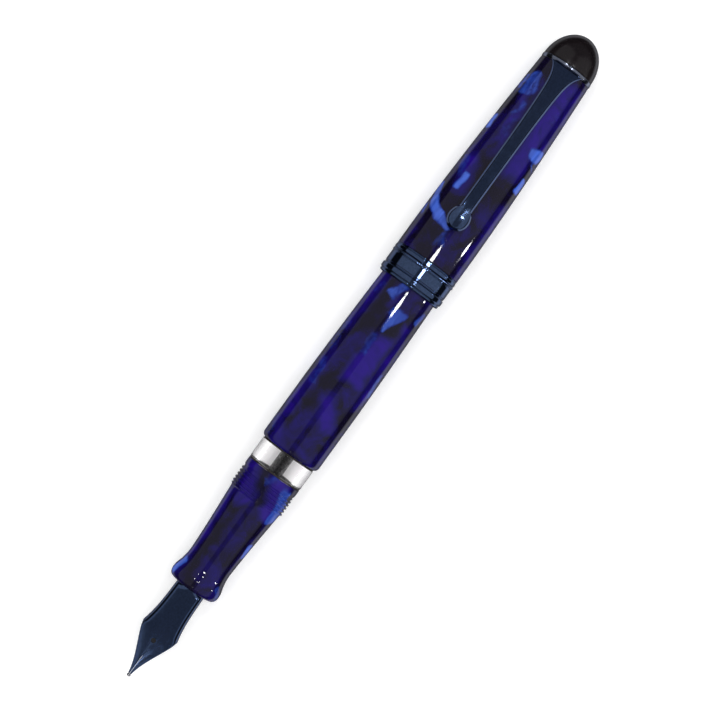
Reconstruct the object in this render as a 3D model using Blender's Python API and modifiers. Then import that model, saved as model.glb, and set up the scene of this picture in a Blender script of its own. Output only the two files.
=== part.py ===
"""A piston-filler fountain pen, lying level with its cap posted on the barrel's tail.

The pen lies along X: the nib's tip is at the low end, the cap's dome at the high end, and the clip and the
nib's face look up (+Z). Every length below is in millimetres. A station is a distance along the pen from the
nib's tip, and a height is a distance from the pen's axis.
"""

from math import cos, exp, pi, radians, sin, sqrt

import bmesh
import bpy
from mathutils import Matrix

MM = 0.001

# Driving dimensions
LENGTH = 158.0
ROUND = 32  # sides of the outer rounds; one side faces straight down
FINE = 20  # sides of the small inner rounds
GAP = 0.1

BEAD_R = 7.35  # the cap band's beads are the widest part and rest on the table
AXIS_HEIGHT = BEAD_R * cos(pi / ROUND)

# Section and cap threads
SECTION_START, SECTION_END = 21.9, 50.2
LIP_R, NECK_R, SECTION_R, COLLAR_R = 5.6, 4.82, 5.75, 6.1
NECK_AT, THREAD_START = 27.6, 43.7
THREAD_PITCH, THREAD_TURNS = 0.76, 6
MALE_CREST_R, MALE_ROOT_R = 6.15, 5.85
FEMALE_CREST_R, FEMALE_ROOT_R = 5.95, 6.25
HOUSING_R = 4.0

# Ink window and chamber
WINDOW_START, WINDOW_END, WINDOW_R = 50.6, 55.0, 6.1
SPIGOT_START, SPIGOT_R = 47.1, 5.2
CHAMBER_END, CHAMBER_WALL_R, CHAMBER_R = 86.4, 5.0, 4.1
FEED_TUBE_R, FEED_TUBE_END = 1.55, 60.0

# Barrel
BARREL_START, BARREL_END, BARREL_R = 55.35, 117.8, 6.75
TAPER_START, TAPER_END = 68.0, 94.7
SHOULDER_END, SHOULDER_R, TAIL_R = 101.5, 5.8, 5.1
GUIDE_BORE_R = 4.3

# Piston drive: five turns of the knob move the piston through its stroke
STROKE, TURNS = 24.0, 5
LEAD = STROKE / TURNS
GUIDE_START, GUIDE_R, GUIDE_END = 86.9, 4.2, 117.7
ROD_START, ROD_END, ROD_R, ROD_FLAT = 77.5, 113.0, 2.8, 2.3
ROD_WALL_START, ROD_WALL_END, ROD_BORE_R = 84.7, 85.7, 2.0
SPINDLE_START, SPINDLE_R, JOURNAL_R = 86.3, 1.65, 2.1
JOURNAL_START, SPINDLE_END = 114.0, 123.8
KNOB_START, KNOB_END, KNOB_R = 118.4, 127.0, 5.05

# Cap
CAP_START, CAP_END, CAP_R, CAP_TAPER_START = 96.4, 149.65, 7.225, 107.0
LIP_SPIGOT_R, LIP_BORE_R = 6.85, 6.42
BAND_START, BAND_END, BAND_R = 96.1, 102.65, 7.2
LINER_START, LINER_END, LINER_R, LINER_BORE_R = 125.2, 149.6, 5.1, 4.55
RING_START, RING_END, RING_R = 149.8, 150.6, 5.78
FINIAL_R = 5.75

# Clip
CLIP_ROOT, CLIP_HALF_WIDTH, CLIP_THICKNESS = 149.6, 1.375, 1.2
BALL_AT, BALL_HALF_LENGTH, BALL_HALF_WIDTH, BALL_TOP = 112.75, 2.6, 2.325, 9.9
CLIP_HINGE_STATION, CLIP_HINGE_HEIGHT = 149.9, 5.9

# Nib
NIB_END, NIB_THICKNESS, SHANK_R = 34.0, 0.35, 3.23
SHOULDER_AT, SHOULDER_HALF_WIDTH = 11.2, 4.18
BREATHER_AT, BREATHER_R, SLIT_WIDTH = 9.05, 0.42, 0.14
NIB_LEAN, TIP_HEIGHT, TIP_HALF_WIDTH = 85.0, 0.5, 0.3
TIPPING_R, TIPPING_LENGTH, TIPPING_DROP = 0.42, 0.64, 0.28
FEED_START, FEED_END, FEED_R = 5.2, 44.6, 3.2


def row_x(station):
    """A station as X in metres."""
    return (station - LENGTH / 2) * MM


# Scene, materials and turned pieces


def clear_scene():
    for obj in list(bpy.data.objects):
        bpy.data.objects.remove(obj, do_unlink=True)


def new_collection(name):
    collection = bpy.data.collections.new(name)
    bpy.context.scene.collection.children.link(collection)
    return collection


def new_material(name, colour, roughness, metallic=0.0, alpha=1.0, transmission=0.0):
    material = bpy.data.materials.new(name)
    material.use_nodes = True
    shader = material.node_tree.nodes["Principled BSDF"]
    shader.inputs["Base Color"].default_value = (*colour, 1.0)
    shader.inputs["Roughness"].default_value = roughness
    shader.inputs["Metallic"].default_value = metallic
    shader.inputs["Alpha"].default_value = alpha
    shader.inputs["Transmission Weight"].default_value = transmission
    return material


def resin(name):
    return new_material(name, (0.014, 0.018, 0.11), 0.12)


def plating(name):
    return new_material(name, (0.03, 0.05, 0.1), 0.22, metallic=1.0)


def black_plastic(name, roughness=0.3):
    return new_material(name, (0.015, 0.014, 0.016), roughness)


def brass(name):
    return new_material(name, (0.55, 0.4, 0.16), 0.3, metallic=1.0)


def rubber(name):
    return new_material(name, (0.02, 0.018, 0.016), 0.7)


def clear_acrylic(name):
    return new_material(name, (0.95, 0.95, 0.96), 0.03, alpha=0.35, transmission=1.0)


def place(obj, collection, material, parent=None):
    """Puts an object that is made about the pen's axis on that axis, keeping its station."""
    collection.objects.link(obj)
    if material:
        obj.data.materials.append(material)
    obj.location = (0.0, 0.0, AXIS_HEIGHT * MM)
    if parent:
        obj.parent = parent
        obj.matrix_parent_inverse = Matrix.Translation(parent.location).inverted()
    return obj


def turned(name, outer, inner=(), front=(), back=(), sides=ROUND):
    """A round piece. Every outline is (station, radius) pairs from the nib's end to the dome's end.

    inner is the wall of a hole right through. front is the wall of a blind hollow open towards the nib, and
    back of one open towards the dome; each touches the axis. The profile runs down the outer side about the
    object's own Z axis, and starts half a side round, so that a flat side faces straight down.
    """
    profile = list(reversed(outer))
    if inner:
        profile += inner
    else:
        profile = [*(back or [(outer[-1][0], 0.0)]), *profile, *(front or [(outer[0][0], 0.0)])]
    start = pi / sides
    points = [
        (radius * MM * cos(start), radius * MM * sin(start), row_x(station))
        for station, radius in profile
    ]
    edges = [(i, i + 1) for i in range(len(points) - 1)]
    if inner:
        edges.append((len(points) - 1, 0))
    mesh = bpy.data.meshes.new(name)
    mesh.from_pydata(points, edges, [])
    obj = bpy.data.objects.new(name, mesh)
    screw = obj.modifiers.new("Turn", "SCREW")
    screw.steps = screw.render_steps = sides
    screw.use_merge_vertices = True
    screw.merge_threshold = 1e-6
    screw.use_smooth_shade = True
    obj.rotation_euler = (0.0, pi / 2, 0.0)
    return obj


def arc(station, radius, size, start, end, steps=3):
    """Points on a quarter or half round, angles in degrees: 0 points outwards and 90 towards the dome."""
    angles = [radians(start + (end - start) * i / steps) for i in range(steps + 1)]
    return [(station + size * sin(a), radius + size * cos(a)) for a in angles]


def eased(start, end, steps=4):
    """Points on a smooth S from start to end, both (station, radius), with the end left out."""
    found = []
    for i in range(steps):
        t = i / steps
        blend = (1 - cos(pi * t)) / 2
        station = start[0] + (end[0] - start[0]) * t
        found.append((station, start[1] + (end[1] - start[1]) * blend))
    return found


def thread(start, crest, root):
    """The ridges of a thread, drawn as rings one pitch apart."""
    found = []
    for turn in range(THREAD_TURNS):
        station = start + turn * THREAD_PITCH
        found += [(station, root), (station + THREAD_PITCH / 2, crest)]
    return [*found, (start + THREAD_TURNS * THREAD_PITCH, root)]


def cap_radius(station):
    """The cap's outer radius: straight at the mouth, then curving in towards the dome."""
    past = max(0.0, station - CAP_TAPER_START)
    return CAP_R - 0.00294 * past**1.65


def barrel_radius(station):
    """The barrel's outer radius over the stretch that shows."""
    past = max(0.0, station - TAPER_START)
    return BARREL_R - 0.00222 * past**1.6


def loft(name, rings):
    """A closed solid through rings of equally many (x, y, z) points in metres, all turning the same way."""
    bm = bmesh.new()
    rows = [[bm.verts.new(point) for point in ring] for ring in rings]
    for row, following in zip(rows, rows[1:]):
        for i in range(len(row)):
            j = (i + 1) % len(row)
            bm.faces.new((row[i], row[j], following[j], following[i]))
    bm.faces.new(rows[0])
    bm.faces.new(reversed(rows[-1]))
    bmesh.ops.recalc_face_normals(bm, faces=bm.faces)
    mesh = bpy.data.meshes.new(name)
    bm.to_mesh(mesh)
    bm.free()
    mesh.shade_smooth()
    mesh.set_sharp_from_angle(angle=radians(35))
    return bpy.data.objects.new(name, mesh)


def cut(target, cutter, cutters):
    """Cuts target with a hidden cutter."""
    cutters.objects.link(cutter)
    cutter.location = target.location
    cutter.hide_render = True
    cutter.display_type = "WIRE"
    modifier = target.modifiers.new(cutter.name, "BOOLEAN")
    modifier.operation = "DIFFERENCE"
    modifier.object = cutter


def box_cutter(name, low, high):
    """A box between two corners given as (station, y, height)."""
    bm = bmesh.new()
    bmesh.ops.create_cube(bm, size=1.0)
    sides = [(high[i] - low[i]) * MM for i in range(3)]
    centre = [(high[i] + low[i]) / 2 for i in range(3)]
    bmesh.ops.scale(bm, vec=sides, verts=bm.verts)
    middle = (row_x(centre[0]), centre[1] * MM, centre[2] * MM)
    bmesh.ops.translate(bm, vec=middle, verts=bm.verts)
    mesh = bpy.data.meshes.new(name)
    bm.to_mesh(mesh)
    bm.free()
    return bpy.data.objects.new(name, mesh)


def flatted_cutter(name, start, end, radius, flat):
    """A round bar along the pen with two flats, one each side, at y = flat and -flat."""
    rings = []
    for station in (start, end):
        ring = []
        for i in range(FINE):
            angle = 2 * pi * (i + 0.5) / FINE
            across = max(-flat, min(flat, radius * sin(angle)))
            ring.append((row_x(station), across * MM, radius * cos(angle) * MM))
        rings.append(ring)
    return loft(name, rings)


# Nib and feed


def nib_half_width(station):
    """Straight-sided tines that bow out to the shoulder, then waist in to the shank."""
    if station < SHOULDER_AT:
        t = station / SHOULDER_AT
        bow = 0.2 * t + 1.7 * t**2 - 0.9 * t**3
        return TIP_HALF_WIDTH + (SHOULDER_HALF_WIDTH - TIP_HALF_WIDTH) * bow
    fade = exp(-(((station - SHOULDER_AT) / 3.75) ** 1.35))
    return SHANK_R + (SHOULDER_HALF_WIDTH - SHANK_R) * fade


def nib_crown(station):
    """Height of the nib's middle line: level on the feed, then falling to the tip."""
    t = min(1.0, station / SECTION_START)
    return TIP_HEIGHT + (SHANK_R - TIP_HEIGHT) * (1 - (1 - t) ** 1.5)


def nib_sag(station):
    """How far the nib's edges lie below its crown."""
    t = min(1.0, station / SECTION_START)
    return 0.12 + 2.8 * t**0.8


def nib_arch(station, lean, depth):
    """A point (y, height) of the nib's cross-section, part of an ellipse, at a depth below its upper face.

    lean runs from -1 at one edge to 1 at the other. The lower face is a smaller ellipse, which keeps the
    sheet's thickness both under the crown and at the edges.
    """
    half, sag = nib_half_width(station), nib_sag(station)
    half -= depth * min(1.0, sag / half)
    sag = max(0.02, sag - depth)
    angle = radians(NIB_LEAN * lean)
    share = (1 - cos(angle)) / (1 - cos(radians(NIB_LEAN)))
    return half * sin(angle) / sin(radians(NIB_LEAN)), nib_crown(station) - depth - sag * share


def nib_height(station, across):
    """Height of the nib's upper face at a distance from its middle line."""
    spread = sin(radians(NIB_LEAN))
    lean = min(1.0, abs(across) / nib_half_width(station)) * spread
    share = (1 - sqrt(1 - lean * lean)) / (1 - cos(radians(NIB_LEAN)))
    return nib_crown(station) - nib_sag(station) * share


def nib_sheet():
    """The nib as a closed loft of arched strips, before its slit and breather hole."""
    stations = [0.7, 2.5, 4.5, 6.5, 8.0, 9.6, SHOULDER_AT, 13.0, 15.5, 19.0, 24.0, NIB_END]
    leans = [2 * i / 12 - 1 for i in range(13)]
    rings = []
    for station in stations:
        ring = [nib_arch(station, lean, 0.0) for lean in leans]
        ring += [nib_arch(station, lean, NIB_THICKNESS) for lean in reversed(leans)]
        rings.append([(row_x(station), y * MM, height * MM) for y, height in ring])
    return loft("nib", rings)


def make_nib(parts, cutters):
    nib = place(nib_sheet(), parts, plating("nib_plating"))
    cut(nib, box_cutter("slit_cutter", (-1, -SLIT_WIDTH / 2, -6), (BREATHER_AT, SLIT_WIDTH / 2, 6)), cutters)
    bm = bmesh.new()
    at = Matrix.Translation((row_x(BREATHER_AT), 0.0, 0.0))
    hole = BREATHER_R * MM
    bmesh.ops.create_cone(
        bm, cap_ends=True, segments=12, radius1=hole, radius2=hole, depth=12 * MM, matrix=at
    )
    mesh = bpy.data.meshes.new("breather_cutter")
    bm.to_mesh(mesh)
    bm.free()
    cut(nib, bpy.data.objects.new("breather_cutter", mesh), cutters)


def make_tipping(name, side, parts):
    """Half of the hard ball on the nib's tip, one half on each tine and standing on its end."""
    rings = []
    most = radians(60)
    for i in range(5):
        lean = most * (i / 2 - 1)
        size = TIPPING_R * cos(lean)
        station = TIPPING_LENGTH / 2 * (1 + sin(lean) / sin(most))
        ring = []
        for k in range(7):
            angle = pi * k / 6
            across = side * (SLIT_WIDTH / 2 + size * sin(angle))
            height = TIP_HEIGHT - TIPPING_DROP + size * cos(angle)
            ring.append((row_x(station), across * MM, height * MM))
        rings.append(ring)
    place(loft(name, rings), parts, new_material(name, (0.5, 0.5, 0.52), 0.2, metallic=1.0))


def make_feed(parts):
    """The comb's body: its top follows the underside of the nib and its lower side rounds into the section."""
    rings = []
    for station in (FEED_START, 7.0, 9.5, 12.5, 16.0, 19.0, SECTION_START, 33.0, NIB_END + GAP, FEED_END):
        forward = max(0.0, min(1.0, (SECTION_START - station) / (SECTION_START - SHOULDER_AT)))
        lower = FEED_R * min(1.0, (station - FEED_START + 0.6) / 14) ** 0.8
        widest = 1.0 - 0.4 * forward
        ring = []
        for k in range(9):
            angle = pi * k / 8
            ring.append((lower * cos(angle), 0.05 - lower * sin(angle)))
        for k in range(9):
            across, height = nib_arch(station, widest * (k / 4 - 1), NIB_THICKNESS + 2 * GAP)
            ring.append((across, max(0.15, height)))
        rings.append([(row_x(station), y * MM, height * MM) for y, height in ring])
    place(loft("feed", rings), parts, black_plastic("feed_plastic", 0.45))


def make_nib_collar(parts):
    """The housing: a sleeve round nib and feed, with a rear wall that carries the feed tube."""
    start, end, wall_start = SECTION_START + 0.4, 46.5, FEED_END + 0.3
    tube_bore_r, nib_bore_r = FEED_TUBE_R + GAP, SHANK_R + 0.12
    outer = [(start, HOUSING_R), (end, HOUSING_R)]
    inner = [(start, nib_bore_r), (wall_start, nib_bore_r), (wall_start, tube_bore_r), (end, tube_bore_r)]
    place(turned("nib_collar", outer, inner, FINE), parts, black_plastic("housing_plastic"))


def make_feed_tube(parts):
    start, bore_r = 45.2, 0.9
    wall = [(start, FEED_TUBE_R), (FEED_TUBE_END, FEED_TUBE_R)]
    bore = [(start, bore_r), (FEED_TUBE_END, bore_r)]
    place(turned("feed_tube", wall, bore, FINE), parts, black_plastic("tube_plastic"))


# Grip, ink window and barrel


def make_section(parts):
    lip_at = 23.3
    outer = [
        (SECTION_START, LIP_R - 0.9),
        *arc(lip_at, LIP_R - 1.0, 1.0, -62, 0, 2),
        *eased((lip_at + 0.8, LIP_R - 0.03), (NECK_AT, NECK_R), 3),
        (NECK_AT, NECK_R),
        (33.0, 5.02),
        (38.5, 5.4),
        (THREAD_START - 0.4, SECTION_R),
        *thread(THREAD_START, MALE_CREST_R, MALE_ROOT_R),
        (48.9, COLLAR_R),
        (SECTION_END, COLLAR_R),
    ]
    bore = HOUSING_R + GAP
    inner = [
        (SECTION_START, bore),
        (SPIGOT_START - 0.3, bore),
        (SPIGOT_START - 0.3, SPIGOT_R + GAP),
        (SECTION_END, SPIGOT_R + GAP),
    ]
    place(turned("section", outer, inner), parts, resin("section_resin"))


def make_ink_window(parts):
    outer = [
        (SPIGOT_START, SPIGOT_R),
        (WINDOW_START, SPIGOT_R),
        (WINDOW_START, WINDOW_R),
        (WINDOW_END, WINDOW_R),
        (WINDOW_END, CHAMBER_WALL_R),
        (CHAMBER_END, CHAMBER_WALL_R),
    ]
    inner = [(SPIGOT_START, CHAMBER_R), (CHAMBER_END, CHAMBER_R)]
    place(turned("ink_window", outer, inner), parts, clear_acrylic("ink_window"))


def make_flat_ring(name, start, end, outer_r, inner_r, material, parts, parent=None, sides=ROUND):
    """A plain ring such as a gasket or a washer."""
    ring = turned(name, [(start, outer_r), (end, outer_r)], [(start, inner_r), (end, inner_r)], sides)
    place(ring, parts, material, parent)


def make_barrel(parts):
    front = 1.1
    outer = [
        (BARREL_START, BARREL_R - 0.65),
        *arc(BARREL_START + front, BARREL_R - front, front, -62, 0, 2),
        *[(station, barrel_radius(station)) for station in (TAPER_START, 76.0, 83.0, 89.0, TAPER_END)],
        (96.0, 6.29),
        (SHOULDER_END, SHOULDER_R),
        (BARREL_END, TAIL_R),
    ]
    inner = [
        (BARREL_START, CHAMBER_WALL_R + GAP),
        (CHAMBER_END + 0.2, CHAMBER_WALL_R + GAP),
        (CHAMBER_END + 0.2, GUIDE_BORE_R),
        (BARREL_END, GUIDE_BORE_R),
    ]
    place(turned("barrel", outer, inner), parts, resin("barrel_resin"))


# Piston drive


def make_piston_guide(parts, cutters):
    """The sleeve in the tail: its front wall has two flats for the rod, its rear wall is the spindle's bearing."""
    groove, groove_r = 110.0, 3.6
    outer = [
        (GUIDE_START, GUIDE_R),
        (groove, GUIDE_R),
        (groove, groove_r),
        (groove + 1.0, groove_r),
        (groove + 1.0, GUIDE_R),
        (GUIDE_END, GUIDE_R),
    ]
    flats_end, bearing_start, bearing_r = 92.0, 115.4, JOURNAL_R + GAP
    inner = [
        (GUIDE_START, ROD_BORE_R),
        (flats_end, ROD_BORE_R),
        (flats_end, ROD_R + 0.3),
        (bearing_start, ROD_R + 0.3),
        (bearing_start, bearing_r),
        (GUIDE_END, bearing_r),
    ]
    guide = place(turned("piston_guide", outer, inner, FINE), parts, black_plastic("guide_plastic"))
    opening = flatted_cutter("guide_cutter", GUIDE_START - 1, flats_end + 1, ROD_R + GAP, ROD_FLAT + GAP)
    cut(guide, opening, cutters)
    make_flat_ring("guide_seal", groove + 0.1, groove + 0.9, GUIDE_R, groove_r + 0.08, rubber("guide_seal"),
                   parts, sides=FINE)


def make_piston(parts, cutters, parent):
    """A hollow rod with a wall between its wet end and the spindle's end, and a lipped seal on its nose."""
    nut_start, nut_r = 109.0, 1.85
    flange_start, flange_end, flange_r = 84.2, 85.2, 3.6
    outer = [
        (ROD_START, ROD_R),
        (flange_start, ROD_R),
        (flange_start, flange_r),
        (flange_end, flange_r),
        (flange_end, ROD_R),
        (ROD_END, ROD_R),
    ]
    wet = [(ROD_START, ROD_BORE_R), (ROD_WALL_START, ROD_BORE_R), (ROD_WALL_START, 0.0)]
    dry = [
        (ROD_WALL_END, 0.0),
        (ROD_WALL_END, ROD_BORE_R),
        (nut_start, ROD_BORE_R),
        (nut_start, nut_r),
        (ROD_END, nut_r),
    ]
    rod = turned("piston_rod", outer, front=wet, back=dry, sides=FINE)
    place(rod, parts, brass("piston_rod"), parent)
    for side, name in ((1, "left_flat_cutter"), (-1, "right_flat_cutter")):
        near, far = sorted((side * ROD_FLAT, side * 2 * ROD_R))
        cut(rod, box_cutter(name, (flange_end + 0.2, near, -5), (ROD_END + 1, far, 5)), cutters)
    lip_r, waist_r, seal_bore_r = CHAMBER_R - 0.06, 3.6, ROD_R + 0.08
    seal = [
        (ROD_START + 0.4, lip_r - 0.1),
        (ROD_START + 0.8, lip_r),
        (ROD_START + 2.2, waist_r),
        (flange_start - 2.0, waist_r),
        (flange_start - 0.6, lip_r),
        (flange_start - 0.1, lip_r - 0.1),
    ]
    bore = [(ROD_START + 0.4, seal_bore_r), (flange_start - 0.1, seal_bore_r)]
    place(turned("piston_seal", seal, bore), parts, rubber("piston_seal"), parent)


def make_spindle(parts, cutters, parent):
    """A right-hand thread of three starts, then a journal with a snap ring's groove and the knob's shank."""
    sides, step = 12, 0.8
    starts = int((JOURNAL_START - SPINDLE_START) / step)
    rings = []
    for i in range(starts):
        station = SPINDLE_START + i * step
        turn = 2 * pi * (station - SPINDLE_START) / LEAD
        ring = []
        for k in range(sides):
            angle = 2 * pi * k / sides
            radius = SPINDLE_R - 0.2 + 0.2 * cos(3 * angle)
            ring.append(
                (row_x(station), radius * cos(angle + turn) * MM, radius * sin(angle + turn) * MM)
            )
        rings.append(ring)
    groove_start, groove_end, groove_r = 114.6, 115.0, 1.6
    journal = [
        (JOURNAL_START, JOURNAL_R),
        (groove_start, JOURNAL_R),
        (groove_start, groove_r),
        (groove_end, groove_r),
        (groove_end, JOURNAL_R),
        (SPINDLE_END, JOURNAL_R),
    ]
    for station, radius in journal:
        angles = [turn + 2 * pi * k / sides for k in range(sides)]
        rings.append([(row_x(station), radius * cos(a) * MM, radius * sin(a) * MM) for a in angles])
    place(loft("spindle", rings), parts, brass("spindle"), parent)

    ring_r, clear = 2.85, 0.06
    snap = turned(
        "spindle_clip",
        [(groove_start + clear, ring_r), (groove_end - clear, ring_r)],
        [(groove_start + clear, groove_r + clear), (groove_end - clear, groove_r + clear)],
        sides=FINE,
    )
    place(snap, parts, new_material("snap_ring_steel", (0.4, 0.4, 0.42), 0.3, metallic=1.0), parent)
    mouth = 1.1
    cut(snap, box_cutter("snap_mouth_cutter", (groove_start - 1, -mouth, -5), (groove_end + 1, mouth, 0)),
        cutters)


def make_knob(parts, parent):
    socket_end = SPINDLE_END + 0.3
    outer = [
        (KNOB_START, KNOB_R - 0.15),
        (KNOB_START + 0.4, KNOB_R),
        (122.0, KNOB_R - 0.12),
        (124.6, KNOB_R - 0.45),
        *arc(KNOB_END - 1.6, KNOB_R - 2.2, 1.6, 0, 90),
    ]
    socket = [
        (KNOB_START, JOURNAL_R + 0.08),
        (socket_end, JOURNAL_R + 0.08),
        (socket_end, 0.0),
    ]
    place(turned("knob", outer, front=socket), parts, resin("knob_resin"), parent)


# Cap


def make_cap_body(parts, parent):
    thread_start = 101.9
    bore_start = thread_start + THREAD_TURNS * THREAD_PITCH + 0.4
    face = BAND_END + 0.08
    outer = [
        (CAP_START, LIP_SPIGOT_R),
        (face, LIP_SPIGOT_R),
        (face, CAP_R - 0.1),
        (face + 0.15, CAP_R),
        *[(station, cap_radius(station)) for station in (CAP_TAPER_START, 116.0, 124.0, 131.0)],
        *[(station, cap_radius(station)) for station in (138.0, 144.5, CAP_END)],
    ]
    inner = [
        (CAP_START, LIP_BORE_R),
        (thread_start - 0.2, LIP_BORE_R),
        *thread(thread_start, FEMALE_CREST_R, FEMALE_ROOT_R),
        (bore_start, FEMALE_CREST_R),
        (LINER_START - 0.2, FEMALE_CREST_R),
        (LINER_START - 0.2, LINER_R + GAP),
        (CAP_END, LINER_R + GAP),
    ]
    place(turned("cap_body", outer, inner), parts, resin("cap_resin"), parent)


def make_band(parts, parent):
    """Two rings with a plain band between them, pressed on the cap's lip. Two raised beads carry the pen."""
    lip_end, middle_end, bore, seam = 98.4, 101.4, LIP_SPIGOT_R + 0.06, 0.06
    bead = BEAD_R - BAND_R
    outlines = {
        "cap_lip_ring": [
            (BAND_START, BAND_R - 0.2),
            (96.9, BEAD_R),
            (97.9, BEAD_R),
            (lip_end, BAND_R - 0.05),
        ],
        "cap_band": [
            (lip_end + seam, BAND_R),
            (middle_end - 0.5 - 2 * bead, BAND_R),
            (middle_end - 0.5, BEAD_R),
            (middle_end, BEAD_R),
        ],
        "cap_upper_ring": [
            (middle_end + seam, BAND_R),
            (101.7, BAND_R + 0.1),
            (102.3, BAND_R + 0.1),
            (BAND_END, BAND_R + 0.03),
        ],
    }
    for name, outer in outlines.items():
        inner = [(outer[0][0], bore), (outer[-1][0], bore)]
        place(turned(name, outer, inner), parts, plating(name), parent)


def make_inner_cap(parts, parent):
    floor_start, hole = LINER_END - 1.0, 1.6
    outer = [(LINER_START, LINER_R), (LINER_END, LINER_R)]
    inner = [(LINER_START, LINER_BORE_R), (floor_start, LINER_BORE_R), (floor_start, hole), (LINER_END, hole)]
    place(turned("inner_cap", outer, inner), parts, black_plastic("liner_plastic"), parent)


def make_cap_top(parts, cutters, parent):
    """The ring that holds the clip, the dome, and the slotted stud that draws them onto the cap."""
    make_flat_ring("clip_ring", RING_START, RING_END, RING_R, 1.65, plating("clip_ring"), parts, parent)
    base, hole, hole_end = RING_END + 0.08, 1.65, 155.2
    height = LENGTH - base
    steps = 7
    angles = [radians(90 * i / steps) for i in range(steps + 1)]
    dome = [(base + height * sin(a), FINIAL_R * cos(a)) for a in angles]
    socket = [(base, hole), (hole_end, hole), (hole_end, 0.0)]
    finial = turned("finial", dome[:-1], front=socket, back=[(LENGTH, 0.0)])
    place(finial, parts, black_plastic("finial_resin", 0.15), parent)
    head_start, head_end, head_r, stud_r = 147.45, LINER_END - 1.05, 2.5, 1.5
    slot_depth, slot_half_width = 0.45, 0.3
    stud = [(head_start, head_r), (head_end, head_r), (head_end, stud_r), (hole_end - 0.4, stud_r)]
    screw = place(turned("finial_screw", stud, sides=FINE), parts, brass("finial_screw"), parent)
    low = (head_start - 1, -slot_half_width, -head_r - 1)
    high = (head_start + slot_depth, slot_half_width, head_r + 1)
    cut(screw, box_cutter("slot_cutter", low, high), cutters)


def clip_half_width(station):
    """Slim along the arm, flaring in a smooth curve to the root, with a round ball at the free end."""
    if station < BALL_AT + BALL_HALF_LENGTH:
        along = (station - BALL_AT) / BALL_HALF_LENGTH
        ball = BALL_HALF_WIDTH * sqrt(max(0.0, 1 - along * along))
        return max(ball, CLIP_HALF_WIDTH if along > 0 else 0.5)
    back = CLIP_ROOT - station
    return CLIP_HALF_WIDTH + 1.35 * exp(-back / 1.5) + 0.88 * exp(-back / 7.5)


def clip_underside(station):
    """Height of the arm's underside: it stands away from the cap in a straight line, and the ball dips back."""
    arm = 5.87 + 0.0675 * (CLIP_ROOT - station)
    dip = exp(-(((station - BALL_AT) / 2.4) ** 4))
    return arm + (cap_radius(station) + GAP - arm) * dip


def clip_top(station):
    """Height of the arm's top: thin at the root, then of even thickness, with the ball a little higher."""
    thin = exp(-(CLIP_ROOT - station) / 2.6)
    arm = 5.87 + 0.0675 * (CLIP_ROOT - station) + CLIP_THICKNESS - (CLIP_THICKNESS - 0.5) * thin
    rise = exp(-(((station - BALL_AT) / 2.6) ** 4))
    return arm + (BALL_TOP - arm) * rise


def make_clip(parts, parent):
    """Each cross-section has an underside round the pen's axis, upright sides and a flat top with chamfers."""
    stations = [CLIP_ROOT, 149.0, 148.2, 146.8, 144.5, 140.0, 133.0, 125.0, 118.0]
    angles = [radians(180 * i / 8) for i in range(1, 8)]
    stations += [BALL_AT + BALL_HALF_LENGTH * cos(a) for a in angles] + [BALL_AT - BALL_HALF_LENGTH]
    rings = []
    for station in stations:
        half, under, top = clip_half_width(station), clip_underside(station), clip_top(station)
        chamfer = min(0.25, 0.3 * half)
        across = [-half, -half / 2, 0.0, half / 2, half]
        ring = [(y, sqrt(under * under - y * y)) for y in across]
        ring += [(half, top - chamfer), (half - chamfer, top), (chamfer - half, top), (-half, top - chamfer)]
        rings.append([(row_x(station), y * MM, height * MM) for y, height in ring])
    place(loft("clip_arm", rings), parts, plating("clip_arm"), parent)


def axis_empty(name, parts, station, height=0.0):
    """An empty on a joint's axis, which the moving pieces hang from."""
    empty = bpy.data.objects.new(name, None)
    empty.empty_display_size = 4 * MM
    empty.location = (row_x(station), 0.0, (AXIS_HEIGHT + height) * MM)
    parts.objects.link(empty)
    return empty


def main():
    clear_scene()
    parts = new_collection("fountain_pen")
    cutters = new_collection("fountain_pen_cutters")
    cap_axis = axis_empty("cap_axis", parts, CAP_START)
    clip_hinge = axis_empty("clip_hinge", parts, CLIP_HINGE_STATION, CLIP_HINGE_HEIGHT)
    knob_axis = axis_empty("knob_axis", parts, KNOB_START)
    piston_axis = axis_empty("piston_axis", parts, ROD_START)

    make_nib(parts, cutters)
    make_tipping("nib_tipping_left", 1, parts)
    make_tipping("nib_tipping_right", -1, parts)
    make_feed(parts)
    make_nib_collar(parts)
    make_feed_tube(parts)
    make_section(parts)
    make_flat_ring("section_seal", SECTION_END + 0.05, WINDOW_START - 0.05, WINDOW_R - 0.05, SPIGOT_R + GAP,
                   rubber("section_seal"), parts)
    make_ink_window(parts)
    make_flat_ring("barrel_seal", WINDOW_END + 0.05, BARREL_START - 0.05, WINDOW_R - 0.1,
                   CHAMBER_WALL_R + GAP, rubber("barrel_seal"), parts)
    make_barrel(parts)
    make_piston_guide(parts, cutters)
    make_flat_ring("knob_washer", GUIDE_END + 0.2, KNOB_START - 0.1, GUIDE_R, JOURNAL_R + 0.2,
                   new_material("washer_steel", (0.4, 0.4, 0.42), 0.3, metallic=1.0), parts, sides=FINE)
    make_piston(parts, cutters, piston_axis)
    make_spindle(parts, cutters, knob_axis)
    make_knob(parts, knob_axis)
    make_cap_body(parts, cap_axis)
    make_band(parts, cap_axis)
    make_inner_cap(parts, cap_axis)
    make_cap_top(parts, cutters, cap_axis)
    make_clip(parts, clip_hinge)
    clip_hinge.parent = cap_axis
    clip_hinge.matrix_parent_inverse = Matrix.Translation(cap_axis.location).inverted()


main()
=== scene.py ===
"""A posted piston-filler fountain pen in marbled resin, with blued plating and a clear ink window.

Every piece is worked out in millimetres as (station, across, height). A station is a distance along
the pen from the nib's tip, across is positive towards +Y, and a height is measured from the pen's
axis. A turn about the axis is 0 at the top and grows towards -Y.
"""

import math

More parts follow.
